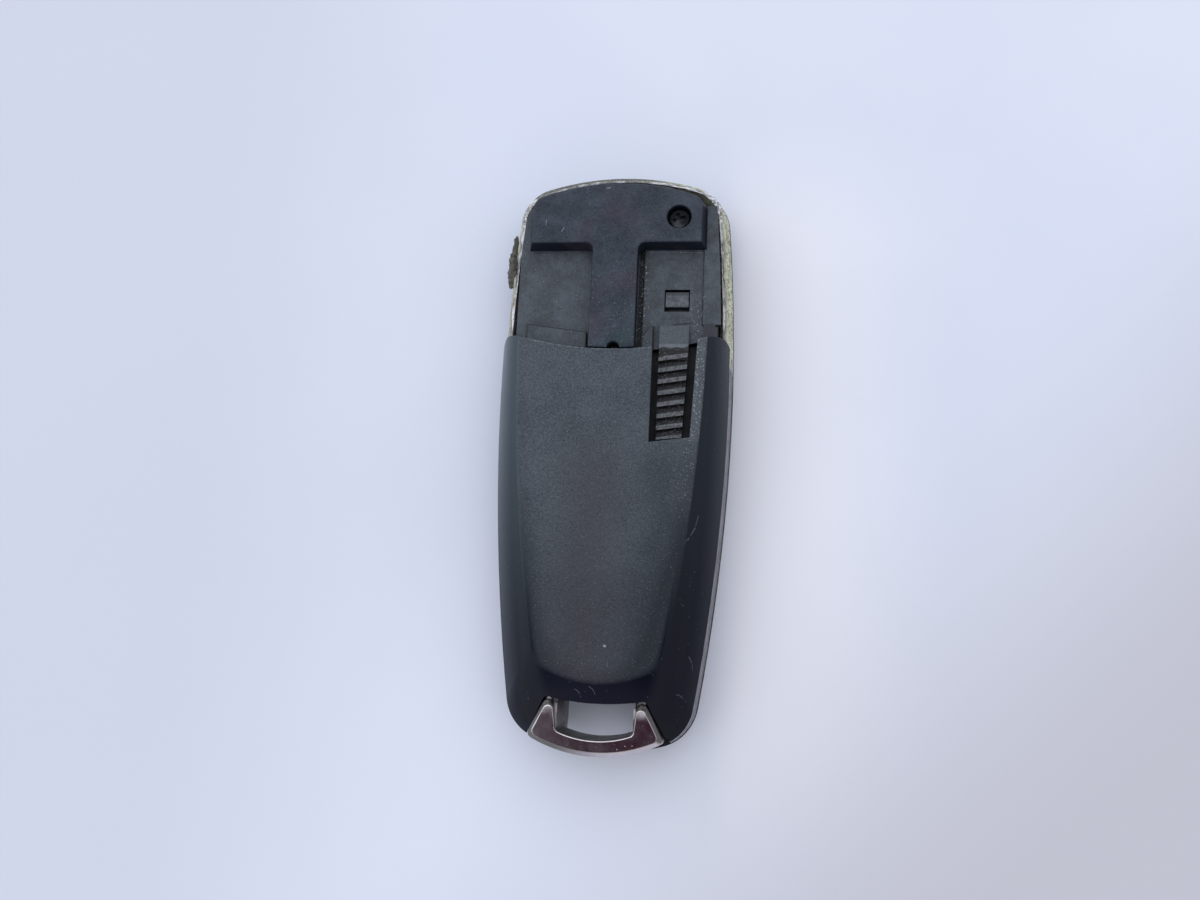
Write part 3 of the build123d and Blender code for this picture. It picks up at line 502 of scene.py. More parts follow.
plating = worn_chrome.mix(streak.ramp(0.4, 0.62), (0.12, 0.125, 0.13, 1), (0.74, 0.74, 0.76, 1))
plating = worn_chrome.mix(bloom * 0.35, plating, (0.42, 0.31, 0.27, 1))
smooth_plating = worn_chrome.mix(streak.ramp(0.35, 0.65), (0.12, 0.12, 0.13, 1), (0.32, 0.31, 0.33, 1))
plating = worn_chrome.mix(toward_end, smooth_plating, plating)
undercoat = worn_chrome.mix(blotch.ramp(0.35, 0.65), (0.36, 0.37, 0.25, 1), (0.62, 0.64, 0.49, 1))
undercoat = worn_chrome.mix(round_end * left_side * rim * 0.9, undercoat, (0.1, 0.105, 0.09, 1))
undercoat = worn_chrome.mix(grit.ramp(0.55, 0.75), undercoat, (0.62, 0.62, 0.52, 1))
worn = worn_chrome.mix(bare, plating, undercoat)
worn_chrome.wear(
    Base_Color=worn_chrome.mix(spots * 0.7, worn, (0.07, 0.072, 0.055, 1)),
    Metallic=(1 - bare * 0.85) * (1 - spots) * (0.9 - rim * toward_end * 0.35),
    Roughness=bare * 0.35 + 0.24 + spots * 0.3 + rim * toward_end * 0.1,
)
worn_chrome.relief(pits + bare * 0.5 + grit * 0.4, 0.09)
dress(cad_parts["trim_frame"], worn_chrome)


# Dirt caked on the frame's left side: a thin ragged crust of grit and old glue, wider towards
# its lower end. It stays inside the outline of the solids.
caked_dirt = Finish("caked_dirt", Roughness=0.9, Specular_IOR_Level=0.2)
dirt_mix = caked_dirt.grain(1.8, 5.0, roughness=0.7)
caked_dirt.wear(
    Base_Color=caked_dirt.mix(
        dirt_mix.ramp(0.35, 0.65), (0.06, 0.057, 0.048, 1), (0.15, 0.146, 0.125, 1)
    )
)
caked_dirt.relief(caked_dirt.grain(4.0, 4.0), 0.04)

DIRT_MIDDLE = Vector((-15.35, 27.2, 7.2))
DIRT_HALF = Vector((0.95, 3.9, 0.8))
DIRT_TAPER = 0.4
DIRT_BLUNT = 0.0025
DIRT_RAGGED = 0.45
DIRT_BUMPS = 0.15
outer_limit = cad_box[0][0] / MM + 0.02

lump = bmesh.new()
bmesh.ops.create_icosphere(lump, subdivisions=5, radius=1.0)
for vertex in lump.verts:
    outward = vertex.co.copy()
    spot = Vector(outward[i] * DIRT_HALF[i] for i in range(3))
    girth = max(1 - outward.y**2, DIRT_BLUNT)
    spot.x *= (0.85 - DIRT_TAPER * outward.y) / girth**0.25
    edge = Vector((outward.x, outward.y, 0)) * DIRT_HALF.y
    rough = noise.fractal(edge * 0.5, 0.8, 2.1, 4) + 0.5 * noise.fractal(edge * 2.0, 0.8, 2.1, 3)
    spot += Vector((outward.x, outward.y * 0.8, 0)) * rough * DIRT_RAGGED
    spot.z += noise.fractal(spot * 1.5, 0.8, 2.1, 4) * DIRT_BUMPS
    spot += DIRT_MIDDLE
    spot.x = max(spot.x, outer_limit)
    vertex.co = spot * MM
lump_mesh = bpy.data.meshes.new("caked_dirt")
lump.to_mesh(lump_mesh)
lump.free()
dirt = add_object("caked_dirt", lump_mesh)
dress(dirt, caked_dirt)
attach(dirt, "housing")


# Crumbs of grit: they stand on the bare parts of the frame, and lie loose on the floor and steps.
# Each kind is scattered over a copy of the piece that it lies on, inside one box.
ANY_TURN = 6.28
LEAST_CRUMB = (0.45, 0.3, 0.3)
LARGEST_CRUMB = (1.5, 1.0, 0.9)
ANY_SIDE = -0.5
LEVEL_ONLY = 0.7


def crumbs(name, node, finish, body, low, high, thickness, number, lift, seed):
    """Scatters crumbs over a CAD piece between two corners given in millimetres."""
    scatter = Recipe(
        name,
        Density=number / MM**2,
        Size=thickness * MM,
        Low=tuple(value * MM for value in low),
        High=tuple(value * MM for value in high),
        Lift=lift,
        Seed=seed,
    )
    spread = {title: scatter.given(title) for title in ("Density", "Seed")}
    spread["Mesh"] = scatter.given("Geometry")
    normal = scatter.node("GeometryNodeDistributePointsOnFaces", {}, spread, "Normal")
    points = Wire(scatter, normal.socket.node.outputs["Points"])
    place = scatter.node("GeometryNodeInputPosition", {}, {})
    rise = scatter.part(normal, "Z")
    outside = rise.maths("LESS_THAN", rise, scatter.given("Lift"))
    for letter in "XYZ":
        at = scatter.part(place, letter)
        least, most = (scatter.part(scatter.given(title), letter) for title in ("Low", "High"))
        outside = outside + at.maths("LESS_THAN", at, least) + at.maths("GREATER_THAN", at, most)
    kept = scatter.node(
        "GeometryNodeDeleteGeometry", {"domain": "POINT"}, {"Geometry": points, "Selection": outside}
    )
    crumb = scatter.node(
        "GeometryNodeMeshIcoSphere", {}, {"Radius": scatter.given("Size") * 0.5, "Subdivisions": 1}
    )
    turned = scatter.node(
        "FunctionNodeRandomValue",
        {"data_type": "FLOAT_VECTOR"},
        {"Max": (ANY_TURN, ANY_TURN, ANY_TURN), "Seed": seed + 1},
    )
    scaled = scatter.node(
        "FunctionNodeRandomValue",
        {"data_type": "FLOAT_VECTOR"},
        {"Min": LEAST_CRUMB, "Max": LARGEST_CRUMB, "Seed": seed + 2},
    )
    strewn = scatter.node(
        "GeometryNodeInstanceOnPoints",
        {},
        {"Points": kept, "Instance": crumb, "Rotation": turned, "Scale": scaled},
    )
    piece = scatter.piece(name, strewn, finish, body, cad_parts[node].data.copy())
    for vertex in piece.data.vertices:
        for i in range(3):
            vertex.co[i] = min(max(vertex.co[i], cad_box[0][i]), cad_box[1][i])


grit_olive = Finish("grit_olive", Roughness=0.85, Specular_IOR_Level=0.25)
grit_olive.wear(
    Base_Color=grit_olive.mix(
        grit_olive.grain(1.7, 2.0).ramp(0.4, 0.6), (0.24, 0.245, 0.16, 1), (0.62, 0.63, 0.5, 1)
    )
)
for name, low, high, thickness, number, seed in (
    ("grit_right", (13.0, 13.0, 4.6), (17.0, 41.0, 7.7), 0.3, 6.0, 3),
    ("grit_left", (-17.0, 14.0, 4.4), (-12.0, 41.0, 7.7), 0.2, 2.2, 8),
):
    crumbs(name, "trim_frame", grit_olive, "housing", low, high, thickness, number, ANY_SIDE, seed)

grit_pale = Finish("grit_pale", Roughness=0.85, Specular_IOR_Level=0.25)
grit_pale.wear(
    Base_Color=grit_pale.mix(
        grit_pale.grain(1.9, 2.0).ramp(0.4, 0.6), (0.1, 0.11, 0.12, 1), (0.33, 0.35, 0.36, 1)
    )
)


# Chassis: the moulded black floor of the upper third, which carries the plate above and the
# rails of the emergency blade below. It is dusty, with grit along its steps and grooves.
PAD_CORNERS = ((-12.0, 12.0), (-12.0, 16.3), (-3.65, 15.2), (-3.65, 12.0))
RIB_CORNERS = ((4.0, 12.0), (4.0, 14.6), (5.12, 16.1), (5.5, 16.1), (5.5, 12.0))
EDGE_PAD = ((12.35, 12.0), (13.75, 16.4))
MARGIN_LINE = ((12.1, 16.4), (12.1, 33.0))
STEM_GROOVE = ((3.2, 13.0), (4.6, 26.5))
SLIDER_MARGIN = ((10.4, 14.4), (12.1, 20.0))
GROOVE_DEPTH = (10.98, 10.75)
FLOOR_CRUST = ((4.6, 26.95), (12.0, 26.85))
FLOOR_CRACK = ((6.2, 16.15), (7.9, 16.2), (8.6, 16.5), (10.6, 16.65))

body_grain = Finish("body_grain", Specular_IOR_Level=0.4)
body_dust_and_wall_shade = body_grain.upward()
body_cloud = body_grain.grain(0.5, 6.0, roughness=0.65)
body_fine = body_grain.grain(4.0, 3.0, roughness=0.7)
body_specks = body_grain.flecks(2.1, 0.17, 0.1)
gritty = body_grain.zone(*STEM_GROOVE) + body_grain.zone(*SLIDER_MARGIN)
grit_specks = body_grain.flecks(3.0, 0.32, 0.5) * gritty * body_grain.grain(1.2, 2.0).ramp(0.4, 0.6)
crust = body_grain.mark(*FLOOR_CRUST, 0.1) * body_grain.grain(0.9, 3.0).ramp(0.2, 0.8, 0.1, 0.5)
# Painted shade: the floor below this height, down in the grooves and gaps, is turned near black.
groove_shade = body_grain.axis("Z").ramp(*GROOVE_DEPTH)
body_seams = body_grain.mark(*MARGIN_LINE, 0.13) * body_grain.grain(1.0, 2.0).ramp(0.3, 0.5)
for corners, width in ((PAD_CORNERS, 0.2), (RIB_CORNERS, 0.2), (FLOOR_CRACK, 0.14)):
    body_seams = body_seams + body_grain.trail(corners, width)
# Dust lightens the upward floor in patches; the walls keep the darkest tone as painted shade.
body_tone = body_grain.mix(
    (body_cloud.ramp(0.3, 0.7) * 0.5 + body_fine * 0.8 - 0.15) * body_dust_and_wall_shade,
    (0.012, 0.0145, 0.02, 1),
    (0.087, 0.104, 0.121, 1),
)
body_tone = body_grain.mix(groove_shade, body_tone, (0.004, 0.0045, 0.006, 1))
body_tone = body_grain.mix(body_grain.zone(*EDGE_PAD, 0.1) * 0.8, body_tone, (0.018, 0.016, 0.026, 1))
body_tone = body_grain.mix(body_seams.ramp(0.0, 1.0) * 0.85, body_tone, (0.006, 0.007, 0.01, 1))
pale = (body_specks + grit_specks + crust).ramp(0.0, 1.0) * body_dust_and_wall_shade * (1 - groove_shade)
body_grain.wear(
    Base_Color=body_grain.mix(pale * 0.8, body_tone, (0.26, 0.28, 0.29, 1)),
    Roughness=body_cloud.ramp(0.3, 0.7, 0.52, 0.66),
)
body_grain.relief(body_fine + pale * 0.6, 0.022)
dress(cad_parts["inner_body"], body_grain)

for name, low, high, thickness, number, seed in (
    ("grit_groove", (3.2, 12.6, 10.4), (4.3, 27.2, 11.2), 0.24, 5.5, 11),
    ("grit_stem", (3.9, 12.6, 10.9), (4.9, 24.0, 11.9), 0.17, 2.5, 12),
    ("grit_margin", (10.6, 14.4, 10.9), (12.1, 20.5, 11.9), 0.2, 4.5, 13),
    ("grit_wall", (4.2, 26.6, 10.9), (12.0, 27.1, 11.3), 0.13, 3.0, 14),
    ("grit_floor", (-13.0, 12.6, 10.9), (13.5, 27.2, 11.9), 0.13, 0.12, 15),
):
    crumbs(name, "inner_body", grit_pale, "housing", low, high, thickness, number, LEVEL_ONLY, seed)


# Catch block: a separate moulding that shows in the square window above the slider, paler than
# the floor round it where dust has settled on its top, apart from a band at its upper edge.
STEP_EDGE = (20.75, 20.6)

catch_dust = Finish("catch_dust", Roughness=0.6, Specular_IOR_Level=0.4)
catch_cloud = catch_dust.grain(1.6, 4.0, roughness=0.7)
catch_step = catch_dust.axis("Y").ramp(*STEP_EDGE, 0.3, 1.0)
# Dust pales only the top of the block; its walls keep the dark tone as painted shade.
catch_dust.wear(
    Base_Color=catch_dust.mix(
        catch_cloud.ramp(0.3, 0.7, 0.2, 1.0) * catch_dust.upward() * catch_step,
        (0.02, 0.024, 0.03, 1),
        (0.12, 0.134, 0.146, 1),
    )
)
catch_dust.relief(catch_dust.grain(4.5, 3.0), 0.02)
dress(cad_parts["catch_block"], catch_dust)


# T-shaped plate and its screw: a moulded plate two millimetres high, with leaning sides and a
# finely sparked surface, held by one dark cross-head screw at the bottom of a round hole.
RING_MARK = (-4.2, 31.9)
RING_RADIUS = 1.15
STEM_FADE = (31.0, 22.0)
NICKS = (
    ((-7.6, 29.2), (-7.3, 29.7), 0.09),
    ((-1.5, 35.55), (-1.1, 35.6), 0.12),
    ((-9.9, 30.2), (-9.85, 31.0), 0.06),
)

plate_spark = Finish("plate_spark", Specular_IOR_Level=0.28)
plate_dust_and_wall_shade = plate_spark.upward()
plate_haze = plate_spark.grain(0.28, 5.0, roughness=0.6)
plate_fine = plate_spark.grain(4.2, 3.0, roughness=0.85)
plate_hue = plate_spark.grain(0.2, 2.0)
toward_stem = plate_spark.axis("Y").ramp(*STEM_FADE)
plate_specks = plate_spark.flecks(3.4, 0.26, 0.4) * (0.35 + toward_stem * 0.65)
plate_specks = plate_specks + plate_spark.flecks(1.3, 0.12, 0.1) * 0.8
ring_x, ring_y = plate_spark.axis("X") - RING_MARK[0], plate_spark.axis("Y") - RING_MARK[1]
ring_reach = ring_x * ring_x + ring_y * ring_y
ring = abs(ring_reach.maths("SQRT", ring_reach) - RING_RADIUS).ramp(0.14, 0.03)
ring = ring * plate_spark.grain(0.9, 3.0).ramp(0.42, 0.6)
nicks = sum(plate_spark.mark(*nick) for nick in NICKS)
# The plate's walls get the near-black tone as painted shade; haze and specks lighten only its upward faces.
plate_tone = plate_spark.mix(
    (plate_haze.ramp(0.3, 0.7) * 0.35 + plate_fine * 1.3 - 0.35).ramp(0.0, 1.0) * plate_dust_and_wall_shade,
    (0.0025, 0.005, 0.013, 1),
    (0.056, 0.071, 0.091, 1),
)
plate_red, plate_teal = plate_hue.ramp(0.5, 0.7) * 0.35, plate_hue.ramp(0.5, 0.3) * toward_stem * 0.3
plate_tone = plate_spark.mix(plate_red, plate_tone, (0.045, 0.032, 0.048, 1))
plate_tone = plate_spark.mix(plate_teal, plate_tone, (0.02, 0.06, 0.062, 1))
plate_pale = (plate_specks * 0.6 + ring * 0.2 + nicks * 0.7).ramp(0.0, 1.0) * plate_dust_and_wall_shade
plate_spark.wear(
    Base_Color=plate_spark.mix(plate_pale, plate_tone, (0.2, 0.23, 0.25, 1)),
    Roughness=plate_haze.ramp(0.3, 0.7, 0.5, 0.62),
)
plate_spark.relief(plate_fine, 0.03)
dress(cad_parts["top_plate"], plate_spark)

SCREW_DIRT = (8.45, 30.5)
dull_screw = Finish("dull_screw", Specular_IOR_Level=0.12)
screw_grime = dull_screw.grain(2.2, 4.0)
dirt_x, dirt_y = dull_screw.axis("X") - SCREW_DIRT[0], dull_screw.axis("Y") - SCREW_DIRT[1]
screw_dirt = (dirt_x * dirt_x + dirt_y * dirt_y * 0.6 + screw_grime * 1.2).ramp(1.5, 0.5)
dull_screw.wear(
    Base_Color=dull_screw.mix(screw_dirt, (0.007, 0.008, 0.011, 1), (0.06, 0.065, 0.073, 1)),
    Roughness=screw_grime.ramp(0.3, 0.7, 0.5, 0.75),
)
dull_screw.relief(screw_grime, 0.05)
dress(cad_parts["plate_screw"], dull_screw)


# Rear cover: one black moulding over the lower two thirds, snapped into the frame. Its flat
# plate is sparked matt and rubbed brownish along the middle, and the bands round it are gloss.
EDGE_Y, EDGE_RISE, EDGE_HALF = 12.45, 2.85, 16.5
PLATE_HALF, CROWN_Y, PLATE_BULGE = 12.76, 23.0, 580.0
MATT_END_Y, MATT_END_ARC = -31.6, 0.034
LEAST_GAP = 0.02
PLATE_TOP = (12.95, 13.14)
LOW_PLATE_TOP = (12.85, 13.18)
LOW_END = (-8.0, -26.0)
EDGE_SHADE = (2.4, 0.2)
SHADED_END = (8.0, -20.0)
RUBBED_MIDDLE_X, RUBBED_HALF = -1.6, (8.0, 0.4)
RUBBED_END = (4.0, -6.0)
DARKER_SIDE, DARKER_END = (1.0, 9.0), (6.0, -6.0)
PALE_BAND_END, LIT_BAND_SIDE = (-36.0, 14.0), (4.0, -4.0)
DARK_END, DARK_HALF = (-28.0, -33.0), (10.0, 3.0)
HAIR_WIDTH = 0.07
PAINT_SPOT = ((0.98, -26.6), (1.12, -26.65))
SLOT_STRIP = ((10.9, 0.0), (12.95, 15.5))
BELOW_SLOT = ((9.0, -9.0), (12.6, 0.5))
HAIR_MARKS = (
    ((12.35, -9.6), (11.95, -11.2), (11.1, -12.9)),
    ((12.0, -11.3), (11.3, -12.5), (10.5, -13.5)),
    ((10.3, -20.2), (10.45, -20.9), (10.75, -21.2)),
    ((10.2, -32.2), (10.7, -32.4), (11.45, -33.2)),
    ((-8.9, -32.9), (-8.7, -33.3), (-8.7, -33.9)),
    ((-2.5, -32.1), (-2.0, -32.4), (-1.7, -33.1)),
    ((-0.7, -31.7), (-0.2, -32.0), (0.1, -32.6)),
    ((11.6, -27.5), (12.0, -28.3), (12.1, -29.2)),
)

cover_skin = Finish("cover_skin", Specular_IOR_Level=0.15)
cover_x, cover_y, cover_z = (cover_skin.axis(letter) for letter in "XYZ")
low_end = cover_y.ramp(*LOW_END)
matt = cover_z.ramp(*PLATE_TOP) * (1 - low_end) + cover_z.ramp(*LOW_PLATE_TOP) * low_end
from_crown = cover_y - CROWN_Y
side_gap = PLATE_HALF - from_crown * from_crown / PLATE_BULGE - abs(cover_x)
end_gap = cover_y - MATT_END_Y - cover_x * cover_x * MATT_END_ARC
side_gap = side_gap.maths("MAXIMUM", side_gap, LEAST_GAP)
end_gap = end_gap.maths("MAXIMUM", end_gap, LEAST_GAP)
edge_gap = side_gap * end_gap / (side_gap + end_gap)
edge_shade = edge_gap.ramp(*EDGE_SHADE) * cover_y.ramp(*SHADED_END)
matt = matt * (1 - edge_gap.ramp(0.75, 0.05) * low_end)
cover_cloud = cover_skin.grain(0.2, 5.0, roughness=0.65)
cover_fine = cover_skin.grain(4.0, 3.0, roughness=0.85)
strip = cover_skin.zone(*SLOT_STRIP, 0.35) + cover_skin.zone(*BELOW_SLOT, 1.6) * 0.4
cover_specks = cover_skin.flecks(3.2, 0.26, 0.36) + cover_skin.flecks(1.2, 0.13, 0.12)
cover_specks = cover_specks + cover_skin.flecks(2.7, 0.34, 0.6) * strip
cover_specks = cover_specks + cover_skin.flecks(5.2, 0.32, 0.3) * 0.8
rubbed = (
    abs(cover_x - RUBBED_MIDDLE_X + (cover_cloud - 0.5) * 6.0).ramp(*RUBBED_HALF)
    * cover_y.ramp(*RUBBED_END)
    * cover_skin.grain(2.2, 4.0, roughness=0.8).ramp(0.3, 0.7, 0.35, 1.0)
)
edge_line = cover_y - EDGE_Y - cover_x * cover_x * (EDGE_RISE / EDGE_HALF**2)
edge_wear = edge_line.ramp(-0.3, -0.12) * cover_skin.grain(1.5, 3.0).ramp(0.35, 0.6)
# The plate is made darker towards its lower end and to the right of the middle, and painted shade darkens
# it along its edges.
plate_darkening_and_edge_shade = low_end * 0.5 + cover_x.ramp(*DARKER_SIDE) * cover_y.ramp(*DARKER_END) * 0.5
plate_darkening_and_edge_shade = plate_darkening_and_edge_shade + edge_shade * 0.5
plate_grey = cover_skin.mix(
    (cover_cloud.ramp(0.3, 0.7) * 0.12 + cover_fine * 1.3 - 0.22).ramp(0.0, 1.0) * (1 - plate_darkening_and_edge_shade),
    (0.018, 0.022, 0.028, 1),
    (0.114, 0.134, 0.153, 1),
)
plate_grey = cover_skin.mix(rubbed * 0.7, plate_grey, (0.05, 0.045, 0.051, 1))
pale_marks = cover_specks * (0.36 + strip * 1.1) + edge_wear * 0.5
pale_marks = pale_marks + cover_skin.mark(*PAINT_SPOT, 0.17) * 2.0
plate_grey = cover_skin.mix(strip * 0.35, plate_grey, (0.1, 0.11, 0.12, 1))
plate_grey = cover_skin.mix(pale_marks.ramp(0.0, 1.0), plate_grey, (0.24, 0.26, 0.27, 1))
lint, *others = (
    cover_skin.mark(start, end, HAIR_WIDTH) for line in HAIR_MARKS for start, end in zip(line, line[1:])
)
for hair in others:
    lint = lint.maths("MAXIMUM", lint, hair)
lint = lint * cover_skin.grain(1.6, 3.0).ramp(0.3, 0.55)
band_specks = cover_skin.flecks(1.9, 0.13, 0.35)
band_marks = (lint * 0.6 + band_specks * 0.7).ramp(0.0, 1.0)
# The gloss bands are paler towards the top and far paler on the left: partly dust haze, partly painted
# reflection of the bright window side.
band_dust_and_painted_light = cover_y.ramp(*PALE_BAND_END) * (0.22 + cover_x.ramp(*LIT_BAND_SIDE) * 0.78)
band_low = cover_y.ramp(*DARK_END) * abs(cover_x).ramp(*DARK_HALF)
band_black = cover_skin.mix(band_low, (0.0008, 0.0018, 0.0075, 1), (0.009, 0.01, 0.018, 1))
band_black = cover_skin.mix(band_dust_and_painted_light, band_black, (0.047, 0.066, 0.077, 1))
band_black = cover_skin.mix(band_marks, band_black, (0.1, 0.105, 0.13, 1))
cover_skin.wear(
    Base_Color=cover_skin.mix(matt, band_black, plate_grey),
    Roughness=matt * 0.3 + 0.2 + cover_cloud * 0.08 + band_marks * 0.12,
)
cover_skin.relief(cover_fine * (matt * 0.93 + 0.07), 0.03)
dress(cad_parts["rear_cover"], cover_skin)


# Release slider: a thumb piece with eight sawtooth ridges, moulded in black and worn grey on
# the ridge tops, which are also painted paler as lit faces. Its tail end is rough and pale, with cracks
# across it.
TAIL_BREAK = ((6.3, 12.75), (7.1, 12.95), (7.9, 12.7), (8.8, 12.95), (9.6, 12.8), (10.4, 13.05))
TAIL_LIP = ((6.2, 13.1), (10.5, 13.5))
TAIL_EDGE = (12.6, 12.9)
RIDGE_TOPS = (11.82, 11.885)

slider_worn = Finish("slider_worn", Specular_IOR_Level=0.4)
slider_up = slider_worn.upward()
slider_dust = slider_worn.grain(2.6, 4.0, roughness=0.8)
slider_grit = slider_worn.flecks(4.0, 0.4, 0.45)
tail = slider_worn.axis("Y").ramp(*TAIL_EDGE)
# Ridge tops above this height are painted paler: partly grey wear, partly painted highlight where the light
# catches them.
tops = slider_worn.axis("Z").ramp(*RIDGE_TOPS)
cracks = slider_worn.trail(TAIL_BREAK, 0.2)
tail_lip = slider_worn.zone(*TAIL_LIP, 0.15) * slider_dust.ramp(0.35, 0.55)
ridge_dust_and_highlight = (tops * 0.9 + slider_grit * 0.35) * slider_dust.ramp(0.25, 0.65) * (1 - tail)
slider_pale = (ridge_dust_and_highlight * slider_up).ramp(0.0, 1.0)
slider_tone = slider_worn.mix(slider_pale, (0.006, 0.006, 0.007, 1), (0.15, 0.16, 0.17, 1))
tail_tone = slider_worn.mix(
    slider_worn.grain(3.6, 4.0, roughness=0.8) * 1.2 + tail_lip - 0.2,
    (0.03, 0.038, 0.047, 1),
    (0.13, 0.147, 0.162, 1),
)
slider_tone = slider_worn.mix(tail * slider_up, slider_tone, tail_tone)
slider_worn.wear(
    Base_Color=slider_worn.mix(cracks.ramp(0.0, 1.0) * 0.85, slider_tone, (0.006, 0.006, 0.007, 1)),
    Roughness=slider_dust.ramp(0.3, 0.7, 0.55, 0.75),
)
slider_worn.relief(slider_dust + slider_grit * 0.3, 0.04)
dress(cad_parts["release_slider"], slider_worn)
crumbs(
    "grit_slider",
    "release_slider",
    grit_pale,
    "release",
    (6.3, 0.0, 11.0),
    (10.5, 12.4, 11.95),
    thickness=0.12,
    number=7.0,
    lift=0.2,
    seed=21,
)


# Return spring: wound from steel wire, below the slider. It is shown by a copy.
spring = add_object("return_spring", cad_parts["slider_spring"].data.copy())
dress(spring, bright_steel)
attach(spring, "housing")
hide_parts("slider_spring")
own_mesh(spring)


# Emergency key: a cast and chromed loop whose horns reach into the housing, with the steel
# blade pinned into its crossbar.
TIP_DIRT, TIP_CLEAN = (-34.6, -33.9), (-32.7, -33.5)
TIP_SHINE = (-36.0, -34.6)
SPECKLED_SIDE, SPECKLED_END = (-2.0, 4.0), (-37.5, -39.0)
PALE_SIDE = (-2.0, -9.0)

loop_chrome = Finish("loop_chrome", Metallic=1.0)
loop_marks = loop_chrome.scratches(2.2, 35, 0.008, 0.4)
loop_haze = loop_chrome.grain(0.8, 4.0)
loop_x, loop_y = loop_chrome.axis("X"), loop_chrome.axis("Y")
tip_dirt = loop_y.ramp(*TIP_DIRT) * loop_y.ramp(*TIP_CLEAN, 0.3, 1.0)
tip_dirt = tip_dirt * loop_chrome.grain(1.6, 4.0).ramp(0.35, 0.6)
tip_shine = loop_y.ramp(*TIP_SHINE) * loop_x.ramp(-8.0, 6.0, 0.6, 1.0)
loop_specks = loop_x.ramp(*SPECKLED_SIDE) * loop_y.ramp(*SPECKLED_END)
loop_specks = loop_chrome.flecks(2.2, 0.22, 0.4) * loop_specks
loop_tone = loop_chrome.mix(loop_haze, (0.6, 0.54, 0.56, 1), (0.78, 0.73, 0.75, 1))
# Painted reflection: the left of the loop gets paler chrome, for the bright window side that it mirrors.
loop_left_painted_reflection = loop_chrome.mix(loop_haze, (0.85, 0.8, 0.82, 1), (1.0, 0.97, 0.98, 1))
loop_tone = loop_chrome.mix(loop_x.ramp(*PALE_SIDE), loop_tone, loop_left_painted_reflection)
loop_front = loop_chrome.facing("Y").ramp(-0.35, -0.65)
loop_sides = loop_chrome.facing("Z").ramp(0.985, 0.9) * (1 - loop_front * loop_x.ramp(-6.0, 3.0))
# Painted shade: the loop's sloping sides and bevels are given a dark tone that dims their reflections,
# apart from the lower bevel on the right.
side_shade_tone = loop_chrome.mix(loop_chrome.grain(5.0, 3.0), (0.06, 0.055, 0.05, 1), (0.2, 0.185, 0.17, 1))
loop_tone = loop_chrome.mix(loop_sides * 0.95, loop_tone, side_shade_tone)
dulled = loop_marks * 0.1 + loop_sides * 0.2 + tip_shine * 0.3 + loop_specks * 0.4
loop_chrome.wear(
    Base_Color=loop_chrome.mix(tip_dirt * 0.9, loop_tone, (0.03, 0.028, 0.026, 1)),
    Roughness=loop_haze.ramp(0.3, 0.7, 0.1, 0.2) + dulled,
)
loop_chrome.relief(loop_chrome.grain(1.6, 3.0) + loop_marks * 0.2, 0.01)
dress(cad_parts["key_loop"], loop_chrome)

milled_steel = Finish("milled_steel", Metallic=1.0)
mill_lines = milled_steel.grain(2.6, 3.0, (1, 12, 1))
milled_steel.wear(
    Base_Color=milled_steel.mix(mill_lines, (0.45, 0.45, 0.45, 1), (0.68, 0.68, 0.67, 1)),
    Roughness=mill_lines.ramp(0.25, 0.75, 0.24, 0.42),
)
milled_steel.relief(mill_lines, 0.006)
dress(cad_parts["emergency_blade"], milled_steel)
dress(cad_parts["blade_pins"], bright_steel)


# Table: a sheet of white paper with a faint cool cast. Painted shade darkens it to the left and towards
# the lower right, and painted light makes it paler along the key's right side.
SHEET_SIDE = 6.0
SHADED_LEFT = (-18.0, -70.0)
SHADED_CORNER = (30.0, 110.0)
PALE_IN, PALE_OUT = (13.0, 19.0), (50.0, 22.0)
PALE_TOP, PALE_FOOT = (55.0, 30.0), (-60.0, -35.0)

paper = Finish("paper", Roughness=0.9, Specular_IOR_Level=0.2)
paper_cloud = paper.grain(0.012, 4.0)
paper_x, paper_y = paper.axis("X"), paper.axis("Y")
paper_tone = paper.mix(paper_cloud.ramp(0.3, 0.7), (0.7, 0.735, 0.84, 1), (0.76, 0.79, 0.88, 1))
# Painted shade: the paper darkens towards the left.
paper_tone = paper.mix(paper_x.ramp(*SHADED_LEFT) * 0.8, paper_tone, (0.64, 0.665, 0.74, 1))
# Painted light: a paler strip along the key's right side lightens the key's shadow there.
light_beside_key = paper_x.ramp(*PALE_IN) * paper_x.ramp(*PALE_OUT)
light_beside_key = light_beside_key * paper_y.ramp(*PALE_TOP) * paper_y.ramp(*PALE_FOOT)
paper_tone = paper.mix(light_beside_key * 0.8, paper_tone, (0.89, 0.885, 0.93, 1))
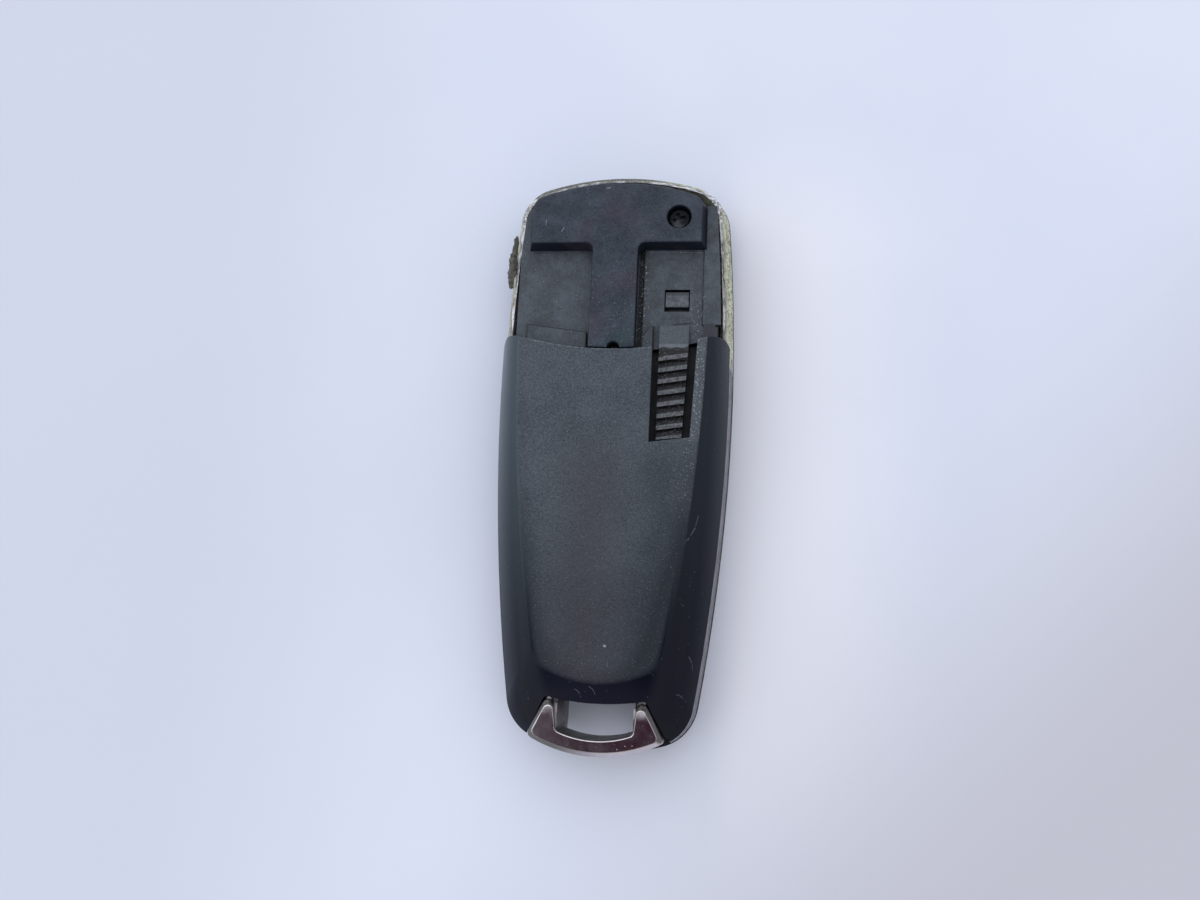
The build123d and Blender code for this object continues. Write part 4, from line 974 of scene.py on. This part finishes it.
# Painted shade: the paper darkens towards the lower right corner.
corner_shade = (paper_x - paper_y).ramp(*SHADED_CORNER)
paper.wear(Base_Color=paper.mix(corner_shade, paper_tone, (0.56, 0.555, 0.6, 1)))
paper.relief(paper.grain(0.9, 4.0), 0.02)
bpy.ops.mesh.primitive_plane_add(size=SHEET_SIDE, location=(0, 0, 0))
sheet = bpy.context.object
sheet.name = "paper_sheet"
dress(sheet, paper)


# Light: one wide soft panel from the upper left, as from a window, and a room that is bright on
# that side and dim on the other, with a dark patch above the key.
WINDOW_PLACE, WINDOW_SIZE = (-0.55, 0.6, 1.3), (1.9, 1.7)
WINDOW_WATTS = 1.35
WINDOW_SIDE = (-0.5, 0.5, 0.7)
OVERHEAD = (-0.08, -0.4, 0.91)


def panel(name, place, aim, size, power, colour):
    """A soft square lamp at place that faces aim."""
    lamp = bpy.data.lights.new(name, "AREA")
    lamp.shape = "RECTANGLE"
    lamp.size, lamp.size_y = size
    lamp.energy = power
    lamp.color = colour
    holder = add_object(name, lamp)
    holder.location = place
    holder.rotation_euler = (Vector(aim) - Vector(place)).to_track_quat("-Z", "Y").to_euler()


panel("window_light", WINDOW_PLACE, (0, 0, 0), WINDOW_SIZE, WINDOW_WATTS, (0.93, 0.96, 1.0))

room = bpy.data.worlds.new("room")
room.use_nodes = True
bpy.context.scene.world = room
walls = Nodes(room.node_tree)
direction = walls.node("ShaderNodeTexCoord", {}, {}, "Generated")
window_side, overhead = (
    walls.node("ShaderNodeVectorMath", {"operation": "DOT_PRODUCT"}, {0: direction, 1: toward}, "Value")
    for toward in (WINDOW_SIDE, OVERHEAD)
)
room_tone = walls.mix(window_side.ramp(-0.45, 0.9), (0.8, 0.79, 0.82, 1), (1.27, 1.33, 1.46, 1))
toward_left = walls.part(direction, "X").ramp(-0.08, -0.26)
hand_shade = walls.mix(toward_left, (0.045, 0.02, 0.031, 1), (0.1, 0.088, 0.102, 1))
walls.tree.links.new(
    walls.mix(overhead.ramp(0.83, 0.95), room_tone, hand_shade).socket,
    walls.tree.nodes["Background"].inputs["Color"],
)
walls.tree.nodes["Background"].inputs["Strength"].default_value = 1.0
bpy.context.scene.view_settings.view_transform = "Standard"
